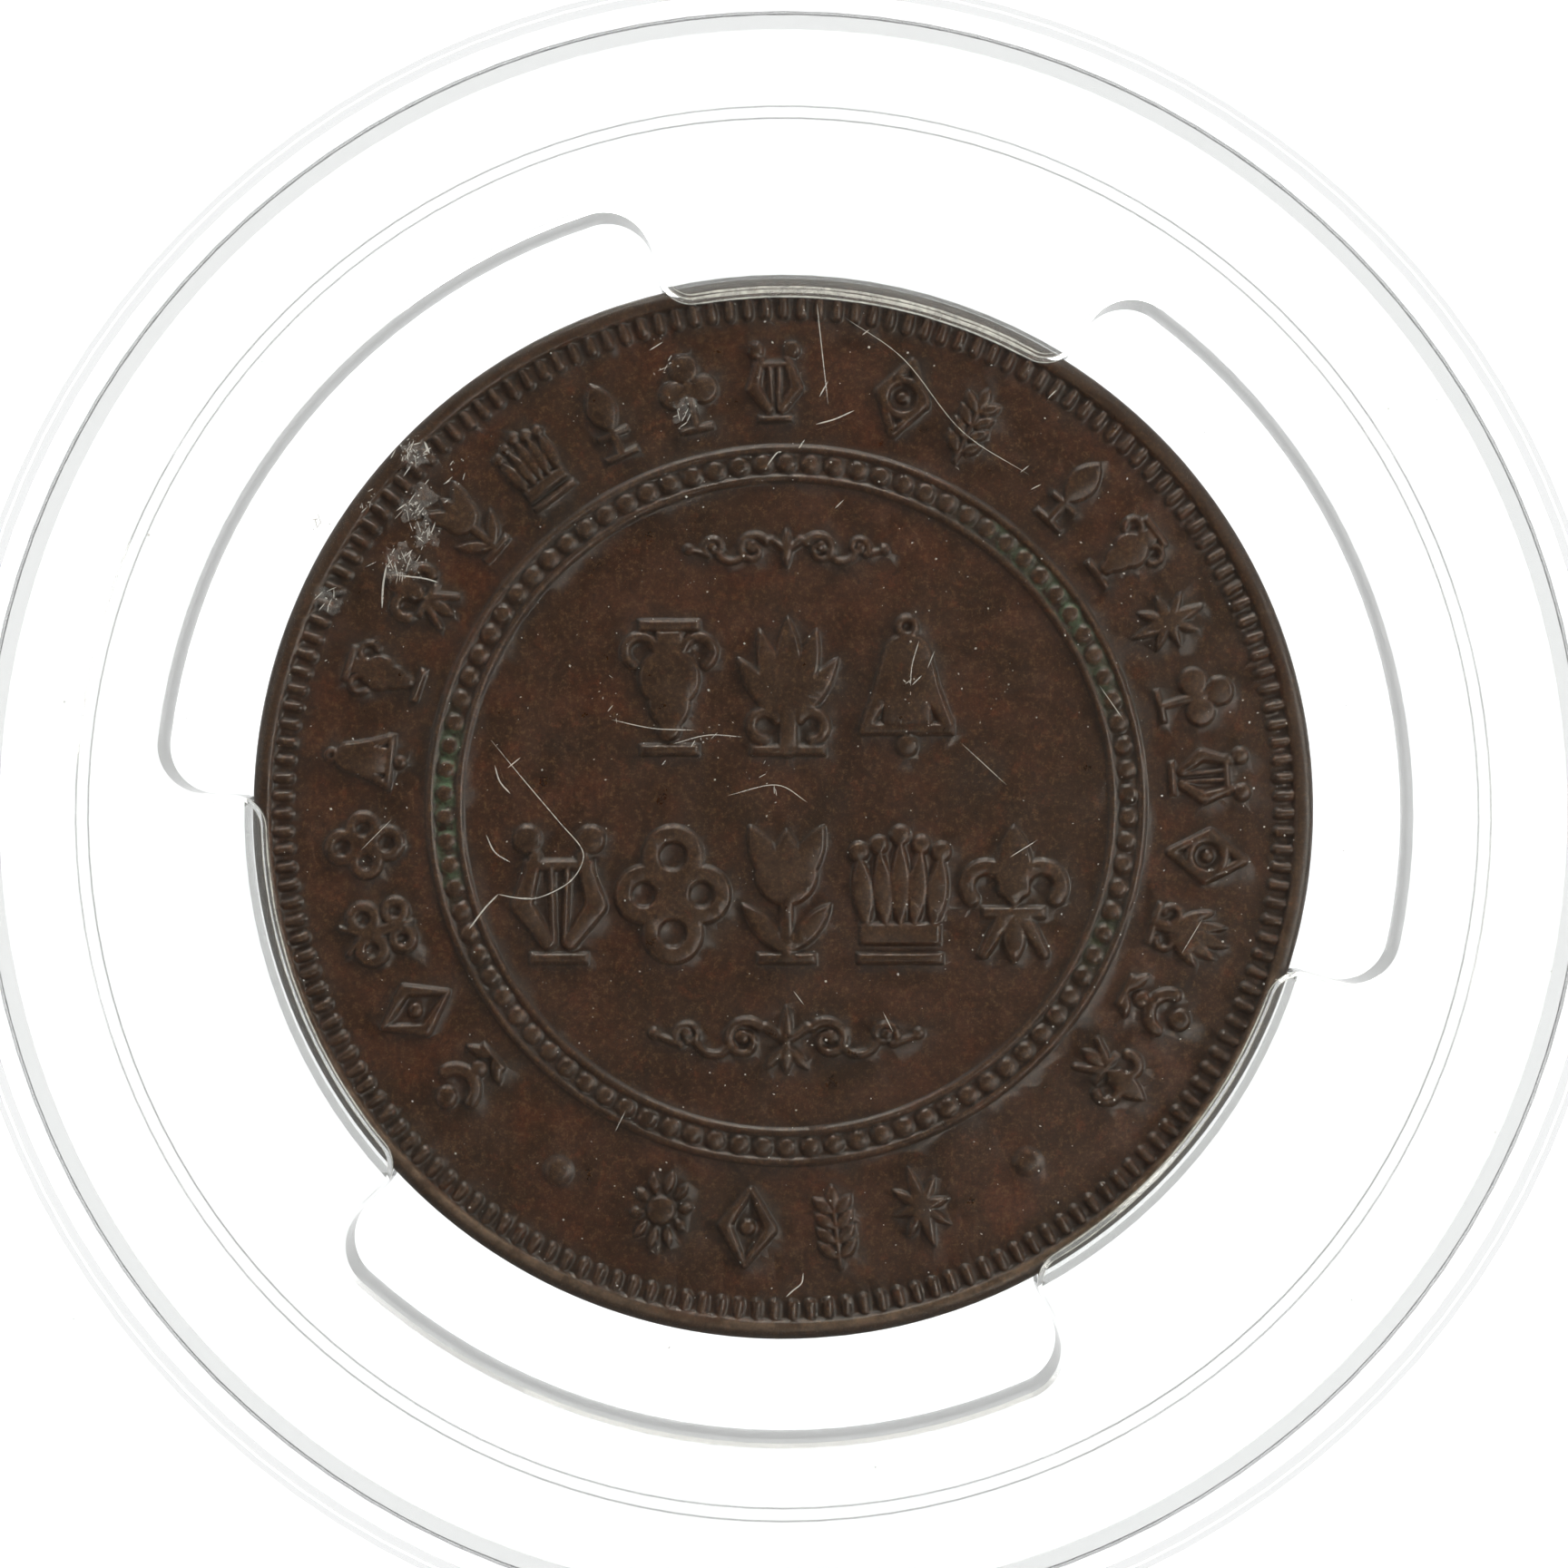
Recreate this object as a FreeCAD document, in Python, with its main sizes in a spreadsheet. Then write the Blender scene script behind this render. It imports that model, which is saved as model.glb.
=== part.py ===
import FreeCAD, Part
import math
import os
import re
import Sketcher

"""Sealed slab that shows and protects one 30.8 mm bronze coin.

Two clear mouldings are welded along a tongue and groove. Between them a clear
flexible ring sits in a round seat, and three prongs on the ring grip the coin
by its edge. A printed card with a foil seal on its back lies in a pocket above
the ring.

Every piece is drawn lying on its back: X is across the slab, Y is towards the
card and Z is out of the front window, with Z = 0 on the rear pad. At the end
each one is stood up on the slab's bottom edge, so in the finished part +X is
across the slab, +Z is up and the front window faces -Y. The origin is the
middle of the slab's foot.
"""

DIMENSIONS = {
    # whole slab
    "slab_width": 63.0,
    "slab_height": 86.0,
    "slab_thickness": 8.0,
    "corner_radius": 4.0,
    "wall": 2.4,
    "edge_round": 0.5,
    # the frame round the front window, and the rear pad that nests in another slab's frame
    "frame_width": 2.5,
    "recess_depth": 1.0,
    "step_inset": 2.7,
    "step_height": 0.9,
    # inner faces of the two plates, and the welded seam between the shells
    "rear_plate_top": 1.8,
    "front_plate_bottom": 5.5,
    "seam": 4.2,
    "tongue_inset": 0.8,
    "tongue_width": 0.7,
    "tongue_height": 0.7,
    "weld_gap": 0.05,
    # round seat of the ring
    "coin_centre": -9.0,
    "ring_radius": 23.0,
    "seat_gap": 0.1,
    "seat_wall": 1.0,
    "seat_split": 0.4,
    # pocket of the card
    "card_width": 54.0,
    "card_height": 17.0,
    "card_thickness": 0.4,
    "card_centre": 29.3,
    "card_corner": 1.2,
    "card_bottom": 3.2,
    "pocket_gap": 0.15,
    "pocket_wall": 0.8,
    "ledge": 1.2,
    "clamp_gap": 0.05,
    "clamp_wall": 0.6,
    # foil seal on the card's back
    "seal_width": 14.0,
    "seal_height": 9.0,
    "seal_thickness": 0.1,
    "seal_corner": 1.0,
    "seal_offset": -17.0,
    # ring with its prongs
    "ring_thickness": 3.5,
    "band_inner": 20.4,
    "web_thickness": 2.9,
    "ring_opening": 18.2,
    "prong_count": 3,
    "prong_root": 18.8,
    "prong_half_angle": 22.6,
    "prong_corner": 1.0,
    "prong_fillet": 1.4,
    "prong_turn": -9.4,
    "lip_radius": 14.95,
    "lip_bevel": 0.12,
    "slot_radius": 15.6,
    "slot_width": 1.85,
    # coin
    "coin_radius": 15.4,
    "coin_thickness": 1.75,
    "coin_edge_round": 0.25,
    "coin_lift": 0.13,
    "field_thickness": 1.36,
    "rim_inner": 14.85,
    "rim_slope": 0.12,
    "circle_inner": 9.5,
    "circle_outer": 10.35,
    "circle_width": 0.2,
    "circle_relief": 0.12,
}
FULL_TURN = 360
ON_FACE = 0.01

doc = FreeCAD.newDocument("coin_slab")
sheet = doc.addObject("Spreadsheet::Sheet", "Dims")
for row, (alias, number) in enumerate(DIMENSIONS.items(), start=1):
    sheet.set(f"A{row}", alias)
    sheet.set(f"B{row}", str(number))
    sheet.setAlias(f"B{row}", alias)
doc.recompute()


# ---------------------------------------------------------------- the sheet

def bind(thing, field, expression):
    """Ties a field to an expression of dimensions' names, such as "slab_width / 2"."""
    def cell(word):
        name = word.group()
        return "Dims." + name if name in DIMENSIONS else name
    thing.setExpression(field, re.sub("[a-z_]+", cell, expression))


def number_of(expression):
    """What an expression comes to now: a first guess for a sketch, or a test of an edge's place."""
    return float(sheet.evalExpression(expression))


# ---------------------------------------------------------------- sketches

def new_body(label):
    body = doc.addObject("PartDesign::Body", label)
    body.Label = label
    return body


def origin_feature(body, role):
    return next(f for f in body.Origin.OriginFeatures if f.Role == role)


def plan_sketch(body, name, x="0", y="0", z="0"):
    """A sketch on the body's XY plane, with its origin moved to x, y, z."""
    sketch = body.newObject("Sketcher::SketchObject", name)
    sketch.AttachmentSupport = [(origin_feature(body, "XY_Plane"), "")]
    sketch.MapMode = "FlatFace"
    for axis, expression in (("x", x), ("y", y), ("z", z)):
        bind(sketch, "AttachmentOffset.Base." + axis, expression)
    return sketch


def section_sketch(body, name):
    """A sketch on the body's XZ plane, for a half section that is turned about Z."""
    sketch = body.newObject("Sketcher::SketchObject", name)
    sketch.AttachmentSupport = [(origin_feature(body, "XZ_Plane"), "")]
    sketch.MapMode = "FlatFace"
    return sketch


def hold(sketch, name, expression, kind, *where):
    """Adds one dimension to a sketch and ties it to the sheet."""
    index = sketch.addConstraint(Sketcher.Constraint(kind, *where, number_of(expression)))
    sketch.renameConstraint(index, name)
    bind(sketch, "Constraints." + name, expression)


def circle(sketch, name, radius):
    """A circle on the sketch's origin."""
    shape = Part.Circle(FreeCAD.Vector(0, 0, 0), FreeCAD.Vector(0, 0, 1), number_of(radius))
    index = sketch.addGeometry(shape)
    sketch.addConstraint(Sketcher.Constraint("Coincident", index, 3, -1, 1))
    hold(sketch, name, radius, "Radius", index)


def rounded_rectangle(sketch, name, width, height, radius):
    """A rectangle round the sketch's origin, whose corners are tangent arcs."""
    half_width = number_of(width) / 2
    half_height = number_of(height) / 2
    round_by = number_of(radius)
    sides = []
    corners = []
    for quarter in range(4):
        turn = math.pi / 2 * quarter
        reach, half_run = (half_width, half_height) if quarter % 2 == 0 else (half_height, half_width)
        outward = FreeCAD.Vector(math.cos(turn), math.sin(turn), 0)
        along = FreeCAD.Vector(-math.sin(turn), math.cos(turn), 0) * (half_run - round_by)
        middle = outward * reach
        sides.append(sketch.addGeometry(Part.LineSegment(middle - along, middle + along)))
        whole = Part.Circle(middle + along - outward * round_by, FreeCAD.Vector(0, 0, 1), round_by)
        corners.append(sketch.addGeometry(Part.ArcOfCircle(whole, turn, turn + math.pi / 2)))
    for quarter in range(4):
        side = sides[quarter]
        corner = corners[quarter]
        next_side = sides[(quarter + 1) % 4]
        sketch.addConstraint(Sketcher.Constraint("Tangent", side, 2, corner, 1))
        sketch.addConstraint(Sketcher.Constraint("Tangent", corner, 2, next_side, 1))
        if quarter:
            sketch.addConstraint(Sketcher.Constraint("Equal", corners[0], corner))
    right, top, left, bottom = sides
    for side, level in ((right, "Vertical"), (top, "Horizontal"),
                        (left, "Vertical"), (bottom, "Horizontal")):
        sketch.addConstraint(Sketcher.Constraint(level, side))
    hold(sketch, name + "_corner", radius, "Radius", corners[0])
    hold(sketch, name + "_right", f"({width}) / 2", "DistanceX", -1, 1, right, 1)
    hold(sketch, name + "_top", f"({height}) / 2", "DistanceY", -1, 1, top, 1)
    hold(sketch, name + "_left", f"({width}) / 2", "DistanceX", left, 1, -1, 1)
    hold(sketch, name + "_bottom", f"({height}) / 2", "DistanceY", bottom, 1, -1, 1)


def polygon(sketch, corners):
    """A closed outline through corners, each a pair of expressions, and each held in place."""
    points = [FreeCAD.Vector(number_of(x), number_of(y), 0) for x, y in corners]
    following = points[1:] + points[:1]
    sides = [sketch.addGeometry(Part.LineSegment(*ends)) for ends in zip(points, following)]
    for side, next_side in zip(sides, sides[1:] + sides[:1]):
        sketch.addConstraint(Sketcher.Constraint("Coincident", side, 2, next_side, 1))
    for index, (side, (x, y)) in enumerate(zip(sides, corners)):
        hold(sketch, f"across_{index}", x, "DistanceX", -1, 1, side, 1)
        hold(sketch, f"up_{index}", y, "DistanceY", -1, 1, side, 1)


# ---------------------------------------------------------------- features

def volume_of(body):
    return body.Tip.Shape.Volume if body.Tip else 0.0


def finish_feature(feature, before, adds):
    """Recomputes, and stops if the feature took material where it should add it, or the reverse."""
    doc.recompute()
    if (feature.Shape.Volume > before) != adds:
        raise RuntimeError(f"{feature.Name}: {before:.2f} mm3 became {feature.Shape.Volume:.2f}")
    return feature


def pad(body, sketch, length, down=False, both_ways=False):
    before = volume_of(body)
    feature = body.newObject("PartDesign::Pad", "Pad_" + sketch.Name)
    feature.Profile = sketch
    feature.Reversed = down
    feature.Midplane = both_ways
    bind(feature, "Length", length)
    return finish_feature(feature, before, adds=True)


def pocket(body, sketch, length, up=False):
    before = volume_of(body)
    feature = body.newObject("PartDesign::Pocket", "Pocket_" + sketch.Name)
    feature.Profile = sketch
    feature.Reversed = up
    bind(feature, "Length", length)
    return finish_feature(feature, before, adds=False)


def turned(body, sketch, cuts=False):
    """A half section turned about the body's Z axis, as a solid or as a cut."""
    before = volume_of(body)
    kind = "Groove" if cuts else "Revolution"
    feature = body.newObject("PartDesign::" + kind, kind + "_" + sketch.Name)
    feature.Profile = sketch
    feature.ReferenceAxis = (sketch, ["V_Axis"])
    feature.Angle = FULL_TURN
    return finish_feature(feature, before, adds=not cuts)


def repeat_round(body, original, count):
    """Repeats a feature evenly about the body's Z axis."""
    feature = body.newObject("PartDesign::PolarPattern", "Round_" + original.Name)
    feature.Originals = [original]
    feature.Axis = (origin_feature(body, "Z_Axis"), [""])
    feature.Angle = FULL_TURN
    bind(feature, "Occurrences", count)
    body.Tip = feature
    return finish_feature(feature, original.Shape.Volume, adds=True)


def soften(body, kind, size, belongs):
    """Rounds ("Fillet") or bevels ("Chamfer") each edge of the body that belongs."""
    base = body.Tip
    names = [f"Edge{index}" for index, edge in enumerate(base.Shape.Edges, start=1) if belongs(edge)]
    if not names:
        raise RuntimeError(f"{body.Label} has no edge to soften")
    feature = body.newObject("PartDesign::" + kind, f"{kind}_{body.Label}_{len(body.Group)}")
    feature.Base = (base, names)
    bind(feature, "Radius" if kind == "Fillet" else "Size", size)
    doc.recompute()
    return feature


def points_along(edge):
    """The edge's two ends and three points between them."""
    first, last = edge.ParameterRange
    return [edge.valueAt(first + (last - first) * step / 4) for step in range(5)]


def at_height(expression):
    """A test for edges that lie wholly on the level that an expression gives."""
    level = number_of(expression)
    return lambda edge: all(abs(point.z - level) < ON_FACE for point in points_along(edge))


def at_radius(expression, upright):
    """A test for edges that far from the body's Z axis: those along Z, or those round it."""
    radius = number_of(expression)

    def belongs(edge):
        points = points_along(edge)
        on_radius = all(abs(math.hypot(p.x, p.y) - radius) < ON_FACE for p in points)
        return on_radius and (abs(points[0].z - points[-1].z) > ON_FACE) == upright
    return belongs


# ---------------------------------------------------------------- the two shells

def outline(sketch, name, inset, softer="0"):
    """The slab's outline taken in by inset. softer leaves its corners rounder than an offset's."""
    rounded_rectangle(sketch, name, f"slab_width - 2 * ({inset})", f"slab_height - 2 * ({inset})",
                      f"corner_radius - ({inset}) + ({softer})")


def weld_track(body, z, gap):
    """The plan of the tongue all round the seam, or of its groove when gap is over nothing."""
    sketch = plan_sketch(body, body.Label + "_weld", z=z)
    outline(sketch, "outer", f"tongue_inset - {gap}")
    outline(sketch, "inner", f"tongue_inset + tongue_width + {gap}")
    return sketch


def ring_seat(body, z):
    """The plan of the round wall that holds the ring."""
    sketch = plan_sketch(body, body.Label + "_seat", y="coin_centre", z=z)
    circle(sketch, "inside", "ring_radius + seat_gap")
    circle(sketch, "outside", "ring_radius + seat_gap + seat_wall")
    return sketch


def card_frame(body, name, z, outside, inside, corner):
    """The plan of a wall that follows the card, from outside to inside beyond its edge."""
    sketch = plan_sketch(body, name, y="card_centre", z=z)
    for side, beyond in (("outer", outside), ("inner", inside)):
        rounded_rectangle(sketch, side, f"card_width + 2 * ({beyond})",
                          f"card_height + 2 * ({beyond})", corner)
    return sketch


def make_rear_shell():
    body = new_body("rear_shell")
    flange = plan_sketch(body, "rear_flange", z="step_height")
    outline(flange, "edge", "0")
    pad(body, flange, "seam - step_height")
    soften(body, "Fillet", "edge_round", at_height("step_height"))
    nesting_pad = plan_sketch(body, "rear_nesting_pad", z="step_height")
    outline(nesting_pad, "edge", "step_inset", softer="step_inset / 2")
    pad(body, nesting_pad, "step_height", down=True)
    soften(body, "Fillet", "edge_round", at_height("0"))
    cavity = plan_sketch(body, "rear_cavity", z="seam")
    outline(cavity, "edge", "wall", softer="wall / 2")
    pocket(body, cavity, "seam - rear_plate_top")
    pad(body, ring_seat(body, "rear_plate_top"), "seam - seat_split - rear_plate_top")
    walls = card_frame(body, "rear_card_walls", "rear_plate_top",
                       "pocket_gap + pocket_wall", "pocket_gap", "card_corner")
    pad(body, walls, "seam - rear_plate_top")
    ledge = card_frame(body, "rear_card_ledge", "rear_plate_top",
                       "pocket_gap + pocket_wall / 2", "-ledge", "card_corner")
    pad(body, ledge, "card_bottom - rear_plate_top")
    pocket(body, weld_track(body, "seam", "weld_gap"), "tongue_height + weld_gap")
    return body


def make_front_shell():
    body = new_body("front_shell")
    block = plan_sketch(body, "front_block", z="seam")
    outline(block, "edge", "0")
    pad(body, block, "slab_thickness - seam")
    recess = plan_sketch(body, "front_recess", z="slab_thickness")
    outline(recess, "edge", "frame_width", softer="frame_width / 2")
    pocket(body, recess, "recess_depth")
    soften(body, "Fillet", "edge_round", at_height("slab_thickness"))
    cavity = plan_sketch(body, "front_cavity", z="seam")
    outline(cavity, "edge", "wall", softer="wall / 2")
    pocket(body, cavity, "front_plate_bottom - seam", up=True)
    pad(body, ring_seat(body, "front_plate_bottom"), "front_plate_bottom - seam", down=True)
    clamp = card_frame(body, "front_card_clamp", "front_plate_bottom",
                       "-clamp_gap", "-clamp_gap - clamp_wall", "card_corner")
    pad(body, clamp, "front_plate_bottom - card_bottom - card_thickness - clamp_gap", down=True)
    pad(body, weld_track(body, "seam", "0"), "tongue_height", down=True)
    return body


# ---------------------------------------------------------------- ring, coin, card and seal

def prong_outline(body):
    """The plan of one prong on +Y: the lip's arc, two radial sides, and an arc within the web."""
    sketch = plan_sketch(body, "prong")
    half = math.radians(number_of("prong_half_angle"))
    up = FreeCAD.Vector(0, 0, 1)
    arcs = []
    for radius in ("lip_radius", "prong_root"):
        whole = Part.Circle(FreeCAD.Vector(0, 0, 0), up, number_of(radius))
        arc = sketch.addGeometry(Part.ArcOfCircle(whole, math.pi / 2 - half, math.pi / 2 + half))
        sketch.addConstraint(Sketcher.Constraint("Coincident", arc, 3, -1, 1))
        hold(sketch, radius, radius, "Radius", arc)
        arcs.append(arc)
    lip, root = arcs
    for name, end, across in (("right", 1, 1), ("left", 2, -1)):
        ends = [FreeCAD.Vector(across * math.sin(half), math.cos(half), 0) * number_of(radius)
                for radius in ("lip_radius", "prong_root")]
        side = sketch.addGeometry(Part.LineSegment(*ends))
        sketch.addConstraint(Sketcher.Constraint("Coincident", side, 1, lip, end))
        sketch.addConstraint(Sketcher.Constraint("Coincident", side, 2, root, end))
        sketch.addConstraint(Sketcher.Constraint("PointOnObject", -1, 1, side))
        across_and_back = (-1, 1, lip, end) if across > 0 else (lip, end, -1, 1)
        hold(sketch, name + "_half", "lip_radius * sin(prong_half_angle * 1 deg)", "DistanceX",
             *across_and_back)
    return sketch


def make_prong_ring():
    """The ring, drawn about its own axis with its middle on Z = 0 and one prong on +Y."""
    body = new_body("prong_ring")
    section = section_sketch(body, "ring_section")
    polygon(section, [
        ("ring_opening", "-web_thickness / 2"),
        ("band_inner", "-web_thickness / 2"),
        ("band_inner", "-ring_thickness / 2"),
        ("ring_radius", "-ring_thickness / 2"),
        ("ring_radius", "ring_thickness / 2"),
        ("band_inner", "ring_thickness / 2"),
        ("band_inner", "web_thickness / 2"),
        ("ring_opening", "web_thickness / 2"),
    ])
    turned(body, section)
    prong = pad(body, prong_outline(body), "web_thickness", both_ways=True)
    repeat_round(body, prong, "prong_count")
    soften(body, "Fillet", "prong_corner", at_radius("lip_radius", upright=True))
    soften(body, "Fillet", "prong_fillet", at_radius("ring_opening", upright=True))
    soften(body, "Chamfer", "lip_bevel", at_radius("lip_radius", upright=False))
    slot = section_sketch(body, "coin_slot")
    polygon(slot, [
        ("0", "-slot_width / 2"),
        ("slot_radius", "-slot_width / 2"),
        ("slot_radius", "slot_width / 2"),
        ("0", "slot_width / 2"),
    ])
    turned(body, slot, cuts=True)
    return body


def make_coin():
    """The coin, drawn about its own axis with its middle on Z = 0 and its text side up."""
    body = new_body("coin")
    blank = section_sketch(body, "coin_blank")
    polygon(blank, [
        ("0", "-field_thickness / 2"),
        ("rim_inner", "-field_thickness / 2"),
        ("rim_inner + rim_slope", "-coin_thickness / 2"),
        ("coin_radius", "-coin_thickness / 2"),
        ("coin_radius", "coin_thickness / 2"),
        ("rim_inner + rim_slope", "coin_thickness / 2"),
        ("rim_inner", "field_thickness / 2"),
        ("0", "field_thickness / 2"),
    ])
    turned(body, blank)
    for name in ("circle_inner", "circle_outer"):
        ridge = section_sketch(body, name + "_ridge")
        polygon(ridge, [
            (f"{name} - circle_width / 2", "field_thickness / 2"),
            (f"{name} + circle_width / 2", "field_thickness / 2"),
            (f"{name} + circle_width / 4", "field_thickness / 2 + circle_relief"),
            (f"{name} - circle_width / 4", "field_thickness / 2 + circle_relief"),
        ])
        turned(body, ridge)
    soften(body, "Fillet", "coin_edge_round", at_radius("coin_radius", upright=False))
    return body


def make_label_card():
    body = new_body("label_card")
    sheet_of_card = plan_sketch(body, "card", y="card_centre", z="card_bottom")
    rounded_rectangle(sheet_of_card, "edge", "card_width", "card_height", "card_corner")
    pad(body, sheet_of_card, "card_thickness")
    return body


def make_hologram_seal():
    body = new_body("hologram_seal")
    foil = plan_sketch(body, "foil", x="seal_offset", y="card_centre", z="card_bottom")
    rounded_rectangle(foil, "edge", "seal_width", "seal_height", "seal_corner")
    pad(body, foil, "seal_thickness", down=True)
    return body


# ---------------------------------------------------------------- assembly

STAND = FreeCAD.Rotation(FreeCAD.Vector(1, 0, 0), 90)


def stand_slab_piece(body):
    """Stands a piece drawn in the slab's own plan on the slab's bottom edge."""
    body.Placement = FreeCAD.Placement(FreeCAD.Vector(), STAND)
    bind(body, "Placement.Base.y", "slab_thickness / 2")
    bind(body, "Placement.Base.z", "slab_height / 2")


def stand_round_piece(body, turn, lift="0"):
    """Turns a piece drawn about its own axis, and stands it lift above the ring seat's middle."""
    about_axis = FreeCAD.Rotation(FreeCAD.Vector(0, 0, 1), turn)
    body.Placement = FreeCAD.Placement(FreeCAD.Vector(), STAND.multiply(about_axis))
    bind(body, "Placement.Base.y", "(slab_thickness - rear_plate_top - front_plate_bottom) / 2")
    bind(body, "Placement.Base.z", f"slab_height / 2 + coin_centre + {lift}")


slab_pieces = [make_rear_shell(), make_front_shell(), make_label_card(), make_hologram_seal()]
prong_ring = make_prong_ring()
coin = make_coin()
for piece in slab_pieces:
    stand_slab_piece(piece)
stand_round_piece(prong_ring, number_of("prong_turn"))
stand_round_piece(coin, 0, "coin_lift")
doc.recompute()

pieces = slab_pieces + [prong_ring, coin]
for thing in doc.Objects:
    if "Invalid" in thing.State or "Error" in thing.State:
        raise RuntimeError(f"{thing.Name} failed: {thing.State}")
for piece in pieces:
    if piece.Shape.isNull() or not piece.Shape.isValid() or len(piece.Shape.Solids) != 1:
        raise RuntimeError(f"{piece.Label} is not one valid solid")

os.makedirs("parts", exist_ok=True)
for piece in pieces:
    piece.Shape.exportStep(f"parts/{piece.Label}.step")
    box = piece.Shape.BoundBox
    print(f"{piece.Label}: {piece.Shape.Volume:.1f} mm3, "
          f"x {box.XMin:.2f} to {box.XMax:.2f}, y {box.YMin:.2f} to {box.YMax:.2f}, "
          f"z {box.ZMin:.2f} to {box.ZMax:.2f}")
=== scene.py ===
"""The looks of a graded coin slab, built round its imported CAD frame.

The slab stands on its bottom edge with the window facing -Y. Everything here is in metres
in the CAD's own frame. The coin's relief is worked out in millimetres on each face of the
coin, with u to the right and v up as that face is looked at, and the coin's middle at 0, 0.
"""
from math import asin, cos, pi, radians, sin, sqrt

import bpy
import numpy as np
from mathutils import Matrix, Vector


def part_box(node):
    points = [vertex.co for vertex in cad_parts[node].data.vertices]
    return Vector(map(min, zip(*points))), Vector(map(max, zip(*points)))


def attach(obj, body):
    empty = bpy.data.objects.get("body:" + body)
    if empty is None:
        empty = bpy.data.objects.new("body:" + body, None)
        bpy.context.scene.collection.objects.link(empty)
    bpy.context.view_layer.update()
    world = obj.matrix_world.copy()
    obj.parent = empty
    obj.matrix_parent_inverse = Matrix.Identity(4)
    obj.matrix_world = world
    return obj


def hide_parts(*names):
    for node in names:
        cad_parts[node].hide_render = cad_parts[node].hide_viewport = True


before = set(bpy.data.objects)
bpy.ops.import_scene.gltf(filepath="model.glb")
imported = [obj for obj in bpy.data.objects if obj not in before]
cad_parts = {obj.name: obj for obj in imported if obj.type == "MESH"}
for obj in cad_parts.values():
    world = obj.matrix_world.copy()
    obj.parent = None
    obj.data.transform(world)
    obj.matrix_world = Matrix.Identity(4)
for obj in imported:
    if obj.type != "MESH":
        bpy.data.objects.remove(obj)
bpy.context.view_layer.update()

MM = 0.001
TURN = 2 * pi


def box_of(node):
    low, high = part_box(node)
    return Vector(low), Vector(high)


def box_in_mm(node):
    return (corner / MM for corner in box_of(node))


coin_low, coin_high = box_of("coin")
coin_middle = (coin_low + coin_high) / 2
COIN_RADIUS = (coin_high.x - coin_low.x) / 2 / MM
COIN_HALF = (coin_high.y - coin_low.y) / 2 / MM


# ---------------- shapes, as signed distances
# Each shape is a function of x and y that is negative inside it. Ornaments are drawn in a box
# from -1 to 1 up and about -0.7 to 0.7 across, and are scaled when they are stamped.

def disc(x0, y0, radius):
    return lambda x, y: np.hypot(x - x0, y - y0) - radius


def hoop(x0, y0, radius, width):
    return lambda x, y: np.abs(np.hypot(x - x0, y - y0) - radius) - width / 2


def block(x0, y0, x1, y1):
    """A box with square ends, given by two opposite corners."""
    mid_x, mid_y = (x0 + x1) / 2, (y0 + y1) / 2
    half_x, half_y = abs(x1 - x0) / 2, abs(y1 - y0) / 2

    def distance(x, y):
        over_x = np.abs(x - mid_x) - half_x
        over_y = np.abs(y - mid_y) - half_y
        outside = np.hypot(np.maximum(over_x, 0), np.maximum(over_y, 0))
        return outside + np.minimum(np.maximum(over_x, over_y), 0)
    return distance


def along(x, y, x0, y0, x1, y1):
    """How far along a line each point is, from 0 to 1, and how far it is from the line."""
    run_x, run_y = x1 - x0, y1 - y0
    part = np.clip(((x - x0) * run_x + (y - y0) * run_y) / (run_x ** 2 + run_y ** 2), 0, 1)
    return part, np.hypot(x - x0 - part * run_x, y - y0 - part * run_y)


def stroke(x0, y0, x1, y1, width0, width1=None):
    """A straight stroke with round ends that may taper."""
    last_width = width0 if width1 is None else width1

    def distance(x, y):
        part, away = along(x, y, x0, y0, x1, y1)
        return away - (width0 + (last_width - width0) * part) / 2
    return distance


def leaf(x0, y0, x1, y1, half_width):
    """A leaf that is pointed at both ends."""
    def distance(x, y):
        part, away = along(x, y, x0, y0, x1, y1)
        return away - half_width * np.sin(np.pi * part) ** 0.8
    return distance


def arc(x0, y0, radius, start, end, width):
    """Part of a hoop, with round ends. Its angles are in degrees, counter-clockwise from +x."""
    middle, half_sweep = radians((start + end) / 2), radians(end - start) / 2

    def distance(x, y):
        away_x, away_y = x - x0, y - y0
        angle = np.arctan2(away_y, away_x) - middle
        angle = np.abs((angle + np.pi) % TURN - np.pi)
        over = np.maximum(angle - half_sweep, 0)
        reach = np.hypot(away_x, away_y)
        near_end = np.hypot(reach * np.cos(over) - radius, reach * np.sin(over))
        return np.where(over > 0, near_end, np.abs(reach - radius)) - width / 2
    return distance


def spiral(x0, y0, radius, start, sweep, width):
    """A volute that winds in from its start angle through sweep, both in degrees, to an eye."""
    steps = 26
    eye = 0.22
    part = np.linspace(0, 1, steps)
    angle = np.radians(start + sweep * part)
    reach = radius * (1 - (1 - eye) * part)
    points = np.stack([x0 + reach * np.cos(angle), y0 + reach * np.sin(angle)], axis=1)
    pieces = [stroke(*first, *second, width * (1 - 0.45 * at), width * (1 - 0.45 * at))
              for first, second, at in zip(points, points[1:], part)]
    pieces.append(disc(*points[-1], width * 0.75))
    return union(*pieces)


def union(*shapes):
    def distance(x, y):
        nearest = shapes[0](x, y)
        for shape in shapes[1:]:
            nearest = np.minimum(nearest, shape(x, y))
        return nearest
    return distance


def twin(shape):
    """The shape and its mirror image, left to right."""
    return lambda x, y: shape(np.abs(x), y)


# ---------------- ornaments that stand in for text

FOOT = block(-0.42, -1.0, 0.42, -0.85)

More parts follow.
